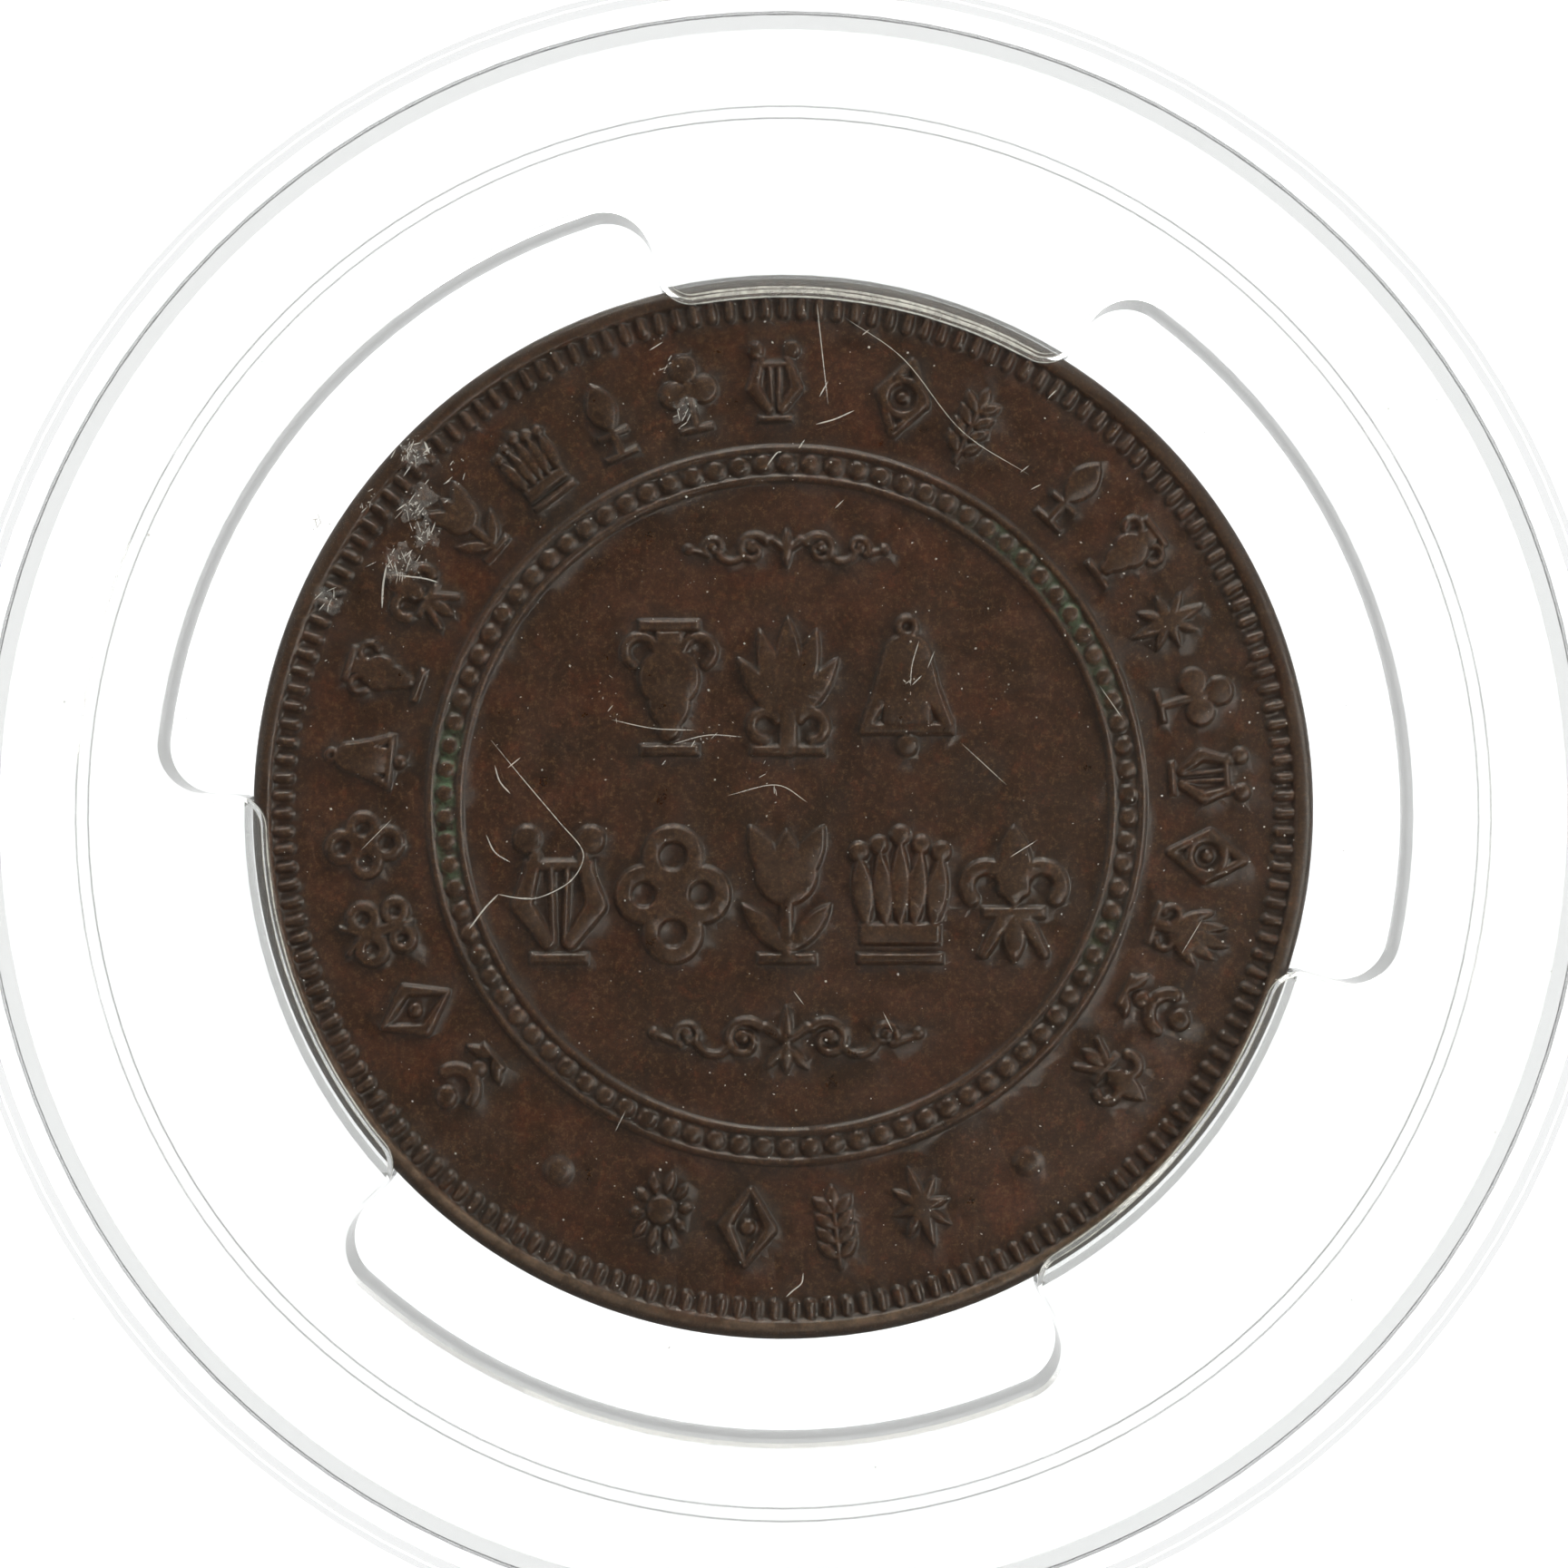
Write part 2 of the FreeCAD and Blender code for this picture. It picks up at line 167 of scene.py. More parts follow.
LOZENGE = union(
    twin(stroke(0, 0.92, 0.56, 0, 0.12, 0.3)), twin(stroke(0.56, 0, 0, -0.92, 0.3, 0.12)),
    disc(0, 0, 0.18))
TREFOIL = union(
    disc(0, 0.6, 0.35), twin(disc(0.38, 0.02, 0.35)), stroke(0, 0.2, 0, -0.85, 0.24, 0.16), FOOT)
QUATREFOIL = union(
    hoop(0, 0.56, 0.32, 0.24), hoop(0, -0.56, 0.32, 0.24), twin(hoop(0.42, 0, 0.3, 0.24)),
    disc(0, 0, 0.18))
SPEARHEAD = union(
    leaf(0, -0.3, 0, 1.0, 0.36), block(-0.4, -0.42, 0.4, -0.28), stroke(0, -0.3, 0, -0.9, 0.2), FOOT)
WHEAT = union(
    stroke(0, -1, 0, 0.6, 0.12, 0.08), leaf(0, 0.4, 0, 1, 0.15),
    *(twin(leaf(0.04, low, 0.46, low + 0.42, 0.14)) for low in (-0.78, -0.42, -0.06, 0.3)))
CRESCENT = union(
    arc(0, 0.3, 0.5, 190, 350, 0.3), disc(0, 0.6, 0.26), disc(0, -0.48, 0.2),
    twin(leaf(0.04, -0.9, 0.62, -0.62, 0.12)), FOOT)
STAR = union(
    leaf(-0.68, 0, 0.68, 0, 0.16), leaf(0, -1, 0, 1, 0.18), disc(0, 0, 0.24),
    twin(leaf(0, 0, 0.52, 0.6, 0.11)), twin(leaf(0, 0, 0.52, -0.6, 0.11)))
FLEUR = union(
    leaf(0, -0.2, 0, 1, 0.27), twin(arc(0.4, 0.12, 0.28, -40, 190, 0.22)),
    block(-0.46, -0.34, 0.46, -0.18), leaf(0, -1, 0, -0.3, 0.16),
    twin(stroke(0.12, -0.3, 0.44, -0.86, 0.24, 0.14)))
LYRE = union(
    twin(stroke(0.16, -0.7, 0.54, -0.16, 0.2, 0.3)),
    twin(stroke(0.54, -0.16, 0.34, 0.56, 0.3, 0.16)), twin(disc(0.46, 0.8, 0.2)),
    block(-0.5, 0.36, 0.5, 0.5), twin(stroke(0.12, 0.4, 0.08, -0.7, 0.08)), FOOT)
KNOT = union(
    twin(stroke(0, 0.92, 0.6, 0, 0.2)), twin(stroke(0.6, 0, 0, -0.92, 0.2)),
    hoop(0, 0, 0.44, 0.2), disc(0, 0, 0.14))
FAN = union(
    leaf(0, -0.5, 0, 1, 0.2), twin(leaf(0.06, -0.5, 0.42, 0.82, 0.17)),
    twin(leaf(0.1, -0.5, 0.72, 0.4, 0.15)), twin(arc(0.34, -0.58, 0.2, -90, 150, 0.14)),
    stroke(0, -0.9, 0, -0.4, 0.26), block(-0.54, -1, 0.54, -0.86))
BUTTERFLY = union(
    leaf(0, -0.86, 0, 0.66, 0.14), twin(hoop(0.4, 0.36, 0.3, 0.26)),
    twin(hoop(0.36, -0.46, 0.25, 0.22)), twin(stroke(0.03, 0.5, 0.34, 0.98, 0.1)))
TULIP = union(
    twin(leaf(0.04, 0, 0.54, 1, 0.2)), leaf(0, 0, 0, 0.94, 0.2), arc(0, 0.3, 0.3, 180, 360, 0.3),
    stroke(0, 0, 0, -0.92, 0.18), twin(leaf(0, -0.86, 0.64, -0.14, 0.15)), FOOT)
CORONET = union(
    block(-0.58, -0.72, 0.58, -0.42), twin(leaf(0.48, -0.5, 0.6, 0.58, 0.15)),
    twin(leaf(0.2, -0.5, 0.3, 0.66, 0.14)), leaf(0, -0.5, 0, 0.8, 0.14),
    twin(disc(0.6, 0.62, 0.14)), twin(disc(0.31, 0.72, 0.13)), disc(0, 0.86, 0.14),
    block(-0.62, -1, 0.62, -0.85))
BELL = union(
    disc(0, 0.4, 0.36), twin(stroke(0.16, 0.4, 0.36, -0.1, 0.4, 0.26)),
    twin(stroke(0.36, -0.1, 0.58, -0.54, 0.26, 0.16)), block(-0.34, -0.56, 0.34, 0.3),
    block(-0.68, -0.7, 0.68, -0.54), disc(0, -0.86, 0.15), hoop(0, 0.86, 0.12, 0.1))
URN = union(
    disc(0, 0.12, 0.44), block(-0.2, 0.4, 0.2, 0.8), block(-0.44, 0.8, 0.44, 0.96),
    twin(arc(0.42, 0.5, 0.22, -60, 170, 0.13)), leaf(0, -0.7, 0, 0.2, 0.3), disc(0, -0.62, 0.16),
    FOOT)
SUN = union(disc(0, 0, 0.34), *(
    leaf(0.42 * cos(turn), 0.42 * sin(turn), 0.74 * cos(turn), 0.98 * sin(turn), 0.11)
    for turn in np.linspace(0, TURN, 11)[:-1] + pi / 2))

# Going round the rim clockwise: each group's marks, first and last angle from the top in
# degrees, radius and half height in mm, and whether the marks' feet are towards the middle.
LEGEND = [
    ([CRESCENT, LOZENGE, BUTTERFLY, QUATREFOIL, BELL, URN, FLEUR, TULIP, CORONET, SPEARHEAD,
      TREFOIL, LYRE], 229.4, 358.4, 12.3, 1.16, True),
    ([KNOT, WHEAT], 15.9, 26.0, 12.3, 1.16, True),
    ([SPEARHEAD, URN, STAR, TREFOIL, LYRE, KNOT, FAN, CRESCENT, FLEUR],
     42.6, 129.5, 12.3, 1.16, True),
    ([SUN, LOZENGE, WHEAT, STAR], 161.4, 197.2, 12.3, 1.2, False),
]
SCROLL_REACH = 5.2       # the scrolls are drawn at full size, and are the widest of the stamps
PELLETS = (145.9, 212.0)
PELLET_ORBIT = 12.5
PELLET_RADIUS = 0.37

# The two rows across the middle: marks, the first and last mark's middle, v and half height.
ROWS = [
    ([URN, FAN, BELL], -3.4, 3.5, 3.46, 2.0),
    ([LYRE, QUATREFOIL, TULIP, CORONET, FLEUR], -6.6, 6.6, -2.59, 2.0),
]

UPPER_SCROLL = union(
    leaf(0, -0.5, 0, 0.62, 0.14), twin(stroke(0.1, 0.05, 0.42, 0.3, 0.16, 0.2)),
    twin(spiral(0.98, 0.02, 0.46, 150, -430, 0.22)), twin(arc(1.62, 0.1, 0.42, 215, 330, 0.17)),
    twin(spiral(2.1, 0.08, 0.3, -20, 400, 0.17)),
    twin(stroke(2.3, -0.12, 2.86, 0.02, 0.16, 0.1)), twin(disc(2.84, 0.02, 0.13)))
LOWER_SCROLL = union(
    leaf(0, -0.5, 0, 0.98, 0.16), leaf(0, -1.0, 0, 0.1, 0.17),
    twin(leaf(0.05, -0.2, 0.62, -0.86, 0.13)), twin(stroke(0.1, 0.0, 0.6, 0.36, 0.2, 0.24)),
    twin(spiral(1.22, -0.02, 0.6, 140, -440, 0.26)), twin(arc(2.1, 0.12, 0.55, 205, 335, 0.2)),
    twin(spiral(2.84, 0.12, 0.38, -10, 410, 0.2)),
    twin(stroke(3.1, -0.12, 3.85, 0.16, 0.2, 0.11)), twin(disc(3.84, 0.18, 0.15)))


# ---------------- the coin's relief, in mm

FIELD = 0.68            # the field's height over the coin's middle plane
RIM_HEIGHT = COIN_HALF - FIELD
RIM_INNER = 14.86
EDGE_ROUND = 0.3
FACE_POINTS, QUICK_POINTS = 1536, 768       # round the rim; they halve evenly towards the middle
FACE_SPACING, QUICK_SPACING = 0.05, 0.11    # from ring to ring, in mm
MOST_FACES = 190000
RIM_SHADE_START = 15.08      # where the painted shade on the rim's outer rounding begins
RIM_HIGHLIGHT_ORBIT = 15.02     # where a highlight is painted on the foot of the rim, on its lower half
DENT_COUNT = 120
TOOTH_COUNT = 175
TOOTH_ORBIT = 14.54
DIE_SHIFT = (0.09, 0.11)  # the inner design was struck a little off the rim's centre
BEAD_COUNT = 90
BEAD_ORBIT = 9.93
BEAD_RADIUS = 0.26
CIRCLES = (9.5, 10.35)
LEAVES_A_SIDE = 15       # pairs of leaves up each side of the back's wreath
FAR = 9.0                # an edge's distance where there's none near


def polar_place(angle, orbit):
    """The point at an angle in degrees clockwise from the top, orbit mm from the middle."""
    turn = radians(angle)
    return orbit * sin(turn), orbit * cos(turn)


class Face:
    """Heights over the field, and distances to the nearest raised edge, at points of one face."""

    def __init__(self, u, v):
        self.u = u
        self.v = v
        self.radius = np.hypot(u, v)
        self.height = np.zeros_like(u)
        self.edge = np.full_like(u, FAR)

    def lift(self, chosen, distance, height, slope):
        """Raises the chosen points where distance is under 0, by height, with sloping sides."""
        rise = np.clip(0.5 - distance / slope, 0, 1)
        rise = height * rise * rise * (3 - 2 * rise)
        self.height[chosen] = np.maximum(self.height[chosen], rise)
        self.edge[chosen] = np.minimum(self.edge[chosen], distance)

    def stamp(self, shape, u, v, turn, scale, height, slope=0.13):
        """Stamps a shape round u, v. turn is in degrees clockwise."""
        reach = SCROLL_REACH if scale == 1 else 1.7 * scale
        chosen = np.nonzero((np.abs(self.u - u) < reach) & (np.abs(self.v - v) < reach))[0]
        across, up = self.u[chosen] - u, self.v[chosen] - v
        run, rise = cos(radians(turn)), sin(radians(turn))
        x = (across * run - up * rise) / scale
        y = (across * rise + up * run) / scale
        self.lift(chosen, shape(x, y) * scale, height, slope)

    def repeated(self, count, orbit, half_band):
        """Points in a band round the coin, and their place in the nearest of count equal cells."""
        chosen = np.nonzero(np.abs(self.radius - orbit) < half_band)[0]
        angle = np.arctan2(self.u[chosen], self.v[chosen])
        cell = angle * count / TURN
        across = (cell - np.round(cell)) * TURN / count * self.radius[chosen]
        return chosen, across, self.radius[chosen] - orbit

    def border(self):
        """The rim, which wavers a little as a worn edge does, and the teeth inside it."""
        angle = np.arctan2(self.u, self.v)
        waver = 0.02 * np.sin(3 * angle + 1.1) + 0.015 * np.sin(7 * angle)
        everywhere = np.arange(len(self.u))
        self.lift(everywhere, RIM_INNER + waver - self.radius, RIM_HEIGHT, 0.16)
        chosen, across, out = self.repeated(TOOTH_COUNT, TOOTH_ORBIT, 0.6)
        tooth = stroke(0, -0.16, 0, 0.2, 0.27, 0.23)(across, out)
        self.lift(chosen, tooth, 0.16, 0.15)

    def beaded_circle(self, orbit, count, radius):
        chosen, across, out = self.repeated(count, orbit, 0.6)
        self.lift(chosen, np.hypot(across, out) - radius, 0.14, 0.2)

    def circle(self, orbit, width, height):
        chosen = np.nonzero(np.abs(self.radius - orbit) < 0.6)[0]
        self.lift(chosen, np.abs(self.radius[chosen] - orbit) - width / 2, height, 0.14)

    def wear(self, seed):
        """Low swells of the field, and small dents, so that nothing is dead flat."""
        dice = np.random.default_rng(seed)
        for length, size in ((9.0, 0.006), (3.5, 0.004), (1.2, 0.0015)):
            for _ in range(4):
                turn, phase = dice.uniform(0, TURN, 2)
                push = self.u * cos(turn) + self.v * sin(turn)
                bend = np.sin((self.u * sin(turn) - self.v * cos(turn)) * 0.7 / length + phase)
                self.height += size * np.sin(TURN * push / length + phase + 1.7 * bend)
        for _ in range(DENT_COUNT):
            reach = COIN_RADIUS * sqrt(dice.uniform(0, 1))
            turn = dice.uniform(0, TURN)
            width = dice.uniform(0.06, 0.2)
            long = width * dice.uniform(1, 4)
            across = self.u - reach * cos(turn)
            up = self.v - reach * sin(turn)
            lean = dice.uniform(0, TURN)
            near = np.nonzero((np.abs(across) < 1) & (np.abs(up) < 1))[0]
            x = across[near] * cos(lean) + up[near] * sin(lean)
            y = up[near] * cos(lean) - across[near] * sin(lean)
            self.height[near] -= 0.018 * np.exp(-(x / long) ** 2 - (y / width) ** 2)


def front_face(u, v):
    """The side that shows: two rows of marks in a beaded circle, and a legend round it."""
    rim = Face(u, v)
    rim.border()
    face = Face(u - DIE_SHIFT[0], v - DIE_SHIFT[1])
    for orbit in CIRCLES:
        face.circle(orbit, 0.2, 0.12)
    face.beaded_circle(BEAD_ORBIT, BEAD_COUNT, BEAD_RADIUS)
    for marks, first, last, orbit, half_height, feet_in in LEGEND:
        angles = np.linspace(first, last, len(marks))
        for mark, angle in zip(marks, angles if feet_in else angles[::-1]):
            turn = angle if feet_in else angle - 180
            face.stamp(mark, *polar_place(angle, orbit), turn, half_height, 0.15)
    for angle in PELLETS:
        face.stamp(disc(0, 0, 1), *polar_place(angle, PELLET_ORBIT), 0, PELLET_RADIUS, 0.13, 0.3)
    for marks, first, last, v0, half_height in ROWS:
        for mark, u0 in zip(marks, np.linspace(first, last, len(marks))):
            face.stamp(mark, u0, v0, 0, half_height, 0.16, 0.15)
    face.stamp(UPPER_SCROLL, 0, 7.4, 0, 1, 0.15)
    face.stamp(LOWER_SCROLL, 0, -6.8, 0, 1, 0.15)
    face.height = np.maximum(face.height, rim.height)
    face.edge = np.minimum(face.edge, rim.edge)
    face.wear(seed=4)
    return face


def back_face(u, v):
    """The hidden side: a plain wreath round a star, all of it the builder's own."""
    face = Face(u, v)
    face.border()
    face.circle(12.9, 0.16, 0.1)
    for side in (-1, 1):
        for index in range(LEAVES_A_SIDE):
            angle = side * (172 - index * 10.2)
            for orbit, lean in ((10.7, 34), (8.9, -34)):
                face.stamp(leaf(0, -0.9, 0, 0.9, 0.3), *polar_place(angle, orbit),
                           angle - side * (90 + lean), 1.25, 0.12)
    face.circle(9.8, 0.14, 0.09)
    face.stamp(STAR, 0, 0, 0, 4.6, 0.15, 0.22)
    face.beaded_circle(6.6, 48, 0.24)
    face.wear(seed=9)
    return face


# ---------------- meshes

def mesh_from(name, points, triangles, smooth=True):
    """A mesh object from arrays of points, in metres, and of triangles."""
    mesh = bpy.data.meshes.new(name)
    mesh.vertices.add(len(points))
    mesh.vertices.foreach_set("co", np.ascontiguousarray(points, dtype=np.float32).ravel())
    mesh.loops.add(len(triangles) * 3)
    mesh.loops.foreach_set("vertex_index", np.ascontiguousarray(triangles, dtype=np.int32).ravel())
    mesh.polygons.add(len(triangles))
    mesh.polygons.foreach_set("loop_start", np.arange(0, len(triangles) * 3, 3, dtype=np.int32))
    mesh.polygons.foreach_set("use_smooth", np.full(len(triangles), smooth))
    mesh.update(calc_edges=True)
    mesh.validate()
    piece = bpy.data.objects.new(name, mesh)
    bpy.context.scene.collection.objects.link(piece)
    return piece


def ring_counts(radii, around):
    """Points in each ring of a disc: around of them at the rim, and half as many further in."""
    counts = []
    for radius in radii:
        count = around
        while count > 24 and radius < COIN_RADIUS * 0.56 * count / around:
            count //= 2
        counts.append(count)
    return counts


def stitch(first_outer, outer, first_inner, inner):
    """Triangles between two rings, when the outer has as many points as the inner or twice as many."""
    step = np.arange(inner)
    after = (step + 1) % inner
    if outer == inner:
        a, b = first_outer + step, first_outer + after
        c, d = first_inner + step, first_inner + after
        return np.concatenate([np.stack([a, b, d], 1), np.stack([a, d, c], 1)])
    near, mid, far = 2 * step, 2 * step + 1, (2 * step + 2) % outer
    c, d = first_inner + step, first_inner + after
    return np.concatenate([
        np.stack([first_outer + near, first_outer + mid, c], 1),
        np.stack([first_outer + mid, d, c], 1),
        np.stack([first_outer + mid, first_outer + far, d], 1),
    ])


def face_grid(around, spacing):
    """Points and triangles of a flat disc, rim ring first, as u, v in mm."""
    radii = np.arange(COIN_RADIUS - EDGE_ROUND, spacing, -spacing)
    counts = ring_counts(radii, around)
    starts = np.concatenate([[0], np.cumsum(counts)])
    rings = [np.stack([radius * np.sin(turn), radius * np.cos(turn)], 1)
             for radius, turn in zip(radii, (np.arange(n) * TURN / n for n in counts))]
    triangles = [stitch(starts[i], counts[i], starts[i + 1], counts[i + 1])
                 for i in range(len(radii) - 1)]
    last = starts[-2] + np.arange(counts[-1])
    middle = np.full(counts[-1], starts[-1])
    triangles.append(np.stack([last, starts[-2] + (np.arange(counts[-1]) + 1) % counts[-1], middle], 1))
    points = np.concatenate(rings + [np.zeros((1, 2))])
    return points, np.concatenate(triangles)


def build_coin():
    """One closed mesh: the front's relief, the rounded edge, and the back's relief."""
    around = FACE_POINTS
    spacing = FACE_SPACING
    plan, inner_faces = face_grid(around, spacing)
    u, v = plan[:, 0], plan[:, 1]
    front = front_face(u, v)
    back = back_face(-u, v)
    count = len(u)
    depth = FIELD + np.stack([front.height, back.height])
    turns = np.arange(around) * TURN / around
    bends = np.linspace(0, pi / 2, 7)[1:]
    edge_rings = []
    for side, sign in ((0, 1), (1, -1)):
        top = depth[side][:around]
        for bend in bends if side == 0 else bends[::-1]:
            radius = COIN_RADIUS - EDGE_ROUND * (1 - sin(bend))
            height = sign * (top - EDGE_ROUND * (1 - cos(bend)))
            edge_rings.append(np.stack([radius * np.sin(turns), -height, radius * np.cos(turns)], 1))
    points = np.concatenate([
        np.stack([u, -depth[0], v], 1),
        np.stack([u, depth[1], v], 1),
        *edge_rings,
    ])
    triangles = [inner_faces, inner_faces[:, ::-1] + count]
    ring_starts = [0] + [2 * count + i * around for i in range(len(edge_rings))] + [count]
    for outer, inner in zip(ring_starts[1:], ring_starts):
        triangles.append(stitch(outer, around, inner, around))
    triangles = np.concatenate(triangles)[:, ::-1]
    points = points * MM + np.array(coin_middle)
    coin = mesh_from("struck_coin", points, triangles)
    thin(coin, MOST_FACES)
    paint_coin(coin)
    return coin


def thin(piece, most):
    """Takes out triangles where the surface is nearly flat, down to most."""
    share = most / len(piece.data.polygons)
    if share >= 1:
        return
    modifier = piece.modifiers.new("thin", "DECIMATE")
    modifier.ratio = share
    bpy.context.view_layer.objects.active = piece
    bpy.ops.object.select_all(action="DESELECT")
    piece.select_set(True)
    bpy.ops.object.modifier_apply(modifier=modifier.name)


# Green deposits by the beads: angle and orbit of each, how far it spreads in mm, how much.
VERDIGRIS = [
    (274, 9.95, 1.1, 1.0), (266, 9.9, 0.9, 0.9), (281, 9.7, 0.7, 0.8), (259, 9.95, 0.6, 0.6),
    (40, 9.95, 1.0, 0.6), (55, 9.95, 1.5, 0.7), (68, 9.9, 0.9, 0.4), (112, 10.0, 0.8, 0.35),
]


def paint_coin(coin):
    """Stores at each point how raised it is, how near the foot of an edge (its patina and painted shade),
    how green, and how strong the painted highlight on the lower rim is.
    """
    mesh = coin.data
    places = np.empty(len(mesh.vertices) * 3, dtype=np.float32)
    mesh.vertices.foreach_get("co", places)
    places = (places.reshape(-1, 3) - np.array(coin_middle)) / MM
    u, out, v = places[:, 0].astype(float), -places[:, 1], places[:, 2].astype(float)
    raised = np.zeros(len(u))
    patina_and_shade = np.zeros(len(u))
    for chosen, make, sign in ((out > 0, front_face, 1), (out <= 0, back_face, -1)):
        face = make(sign * u[chosen], v[chosen])
        raised[chosen] = np.clip(0.5 - face.edge / 0.2, 0, 1)
        # Darker by the foot of each raised edge: partly patina in the hollows, partly painted shade.
        patina_and_shade[chosen] = np.where(face.edge > 0, np.exp(-(face.edge / 0.11) ** 2), 0)
    green = np.zeros(len(u))
    for angle, orbit, reach, amount in VERDIGRIS:
        u0, v0 = polar_place(angle, orbit)
        near = np.exp(-((u - u0) ** 2 + (v - v0) ** 2) / reach ** 2)
        green = np.maximum(green, amount * near * (out > 0))
    orbit = np.hypot(u - DIE_SHIFT[0], v - DIE_SHIFT[1])
    green *= np.exp(-((orbit - BEAD_ORBIT) / 0.36) ** 4)
    # Painted shade on the rim's outer rounding, which turns away from the light.
    patina_and_shade = np.maximum(patina_and_shade, 0.75 * np.clip((np.hypot(u, v) - RIM_SHADE_START) / 0.2, 0, 1))
    # A painted highlight along the rim's inner foot, on the lower half only, where that slope faces the
    # light from above.
    painted_rim_highlight = np.exp(-((np.hypot(u, v) - RIM_HIGHLIGHT_ORBIT) / 0.07) ** 2) * np.clip(-v / 10, 0, 1) * (out > 0)
    for name, values in (("raised", raised), ("patina_and_shade", patina_and_shade), ("green", green), ("painted_rim_highlight", painted_rim_highlight)):
        layer = mesh.attributes.new(name, "FLOAT", "POINT")
        layer.data.foreach_set("value", values.astype(np.float32))


# ---------------- materials

def new_tree(name):
    """A new material, its node tree, and the place in the piece's own coordinates."""
    material = bpy.data.materials.new(name)
    material.use_nodes = True
    tree = material.node_tree
    tree.nodes.clear()
    return material, tree, put(tree, "TexCoord").outputs["Object"]


def put(tree, kind, inputs=None, **settings):
    """Adds a node. Its inputs are set when given a number or colour, and linked when given a socket."""
    node = tree.nodes.new("ShaderNode" + kind)
    for field, value in settings.items():
        setattr(node, field, value)
    for key, value in (inputs or {}).items():
        if isinstance(value, bpy.types.NodeSocket):
            tree.links.new(value, node.inputs[key])
        elif value is not None:
            node.inputs[key].default_value = value
    return node


def maths(tree, operation, first, second=None):
    node = put(tree, "Math", {0: first, 1: second}, operation=operation)
    return node.outputs[0]


def times(tree, first, second):
    return maths(tree, "MULTIPLY", first, second)


def plus(tree, first, second):
    return maths(tree, "ADD", first, second)


def spread(tree, value, low, high, start=0.0, end=1.0):
    """Maps low to high onto start to end, and stops there."""
    node = put(tree, "MapRange", {"Value": value, "From Min": low, "From Max": high,
                                  "To Min": start, "To Max": end}, clamp=True)
    return node.outputs[0]


def mix(tree, factor, first, second):
    """Mixes two colours."""
    node = put(tree, "Mix", {0: factor, 6: first, 7: second}, data_type="RGBA")
    return node.outputs[2]


def noise(tree, place, size_mm, detail=4.0, roughness=0.55, stretch=None):
    """A noise from 0 to 1 whose largest lumps are about size_mm across."""
    if stretch:
        place = put(tree, "Mapping", {"Vector": place, "Scale": stretch}).outputs[0]
    node = put(tree, "TexNoise", {"Vector": place, "Scale": 1 / (size_mm * MM), "Detail": detail,
                                  "Roughness": roughness})
    return node.outputs[0]


def attribute(tree, name):
    return put(tree, "Attribute", attribute_name=name).outputs["Fac"]


def bump(tree, height, depth_mm):
    return put(tree, "Bump", {"Height": height, "Distance": depth_mm * MM}).outputs[0]


def colour(red, green, blue):
    """A colour from its sRGB values, 0 to 255."""
    linear = [(c / 255 / 12.92) if c <= 10 else ((c / 255 + 0.055) / 1.055) ** 2.4
              for c in (red, green, blue)]
    return (*linear, 1.0)


def finish_material(material, tree, shader):
    out = put(tree, "OutputMaterial")
    tree.links.new(shader, out.inputs["Surface"])
    return material


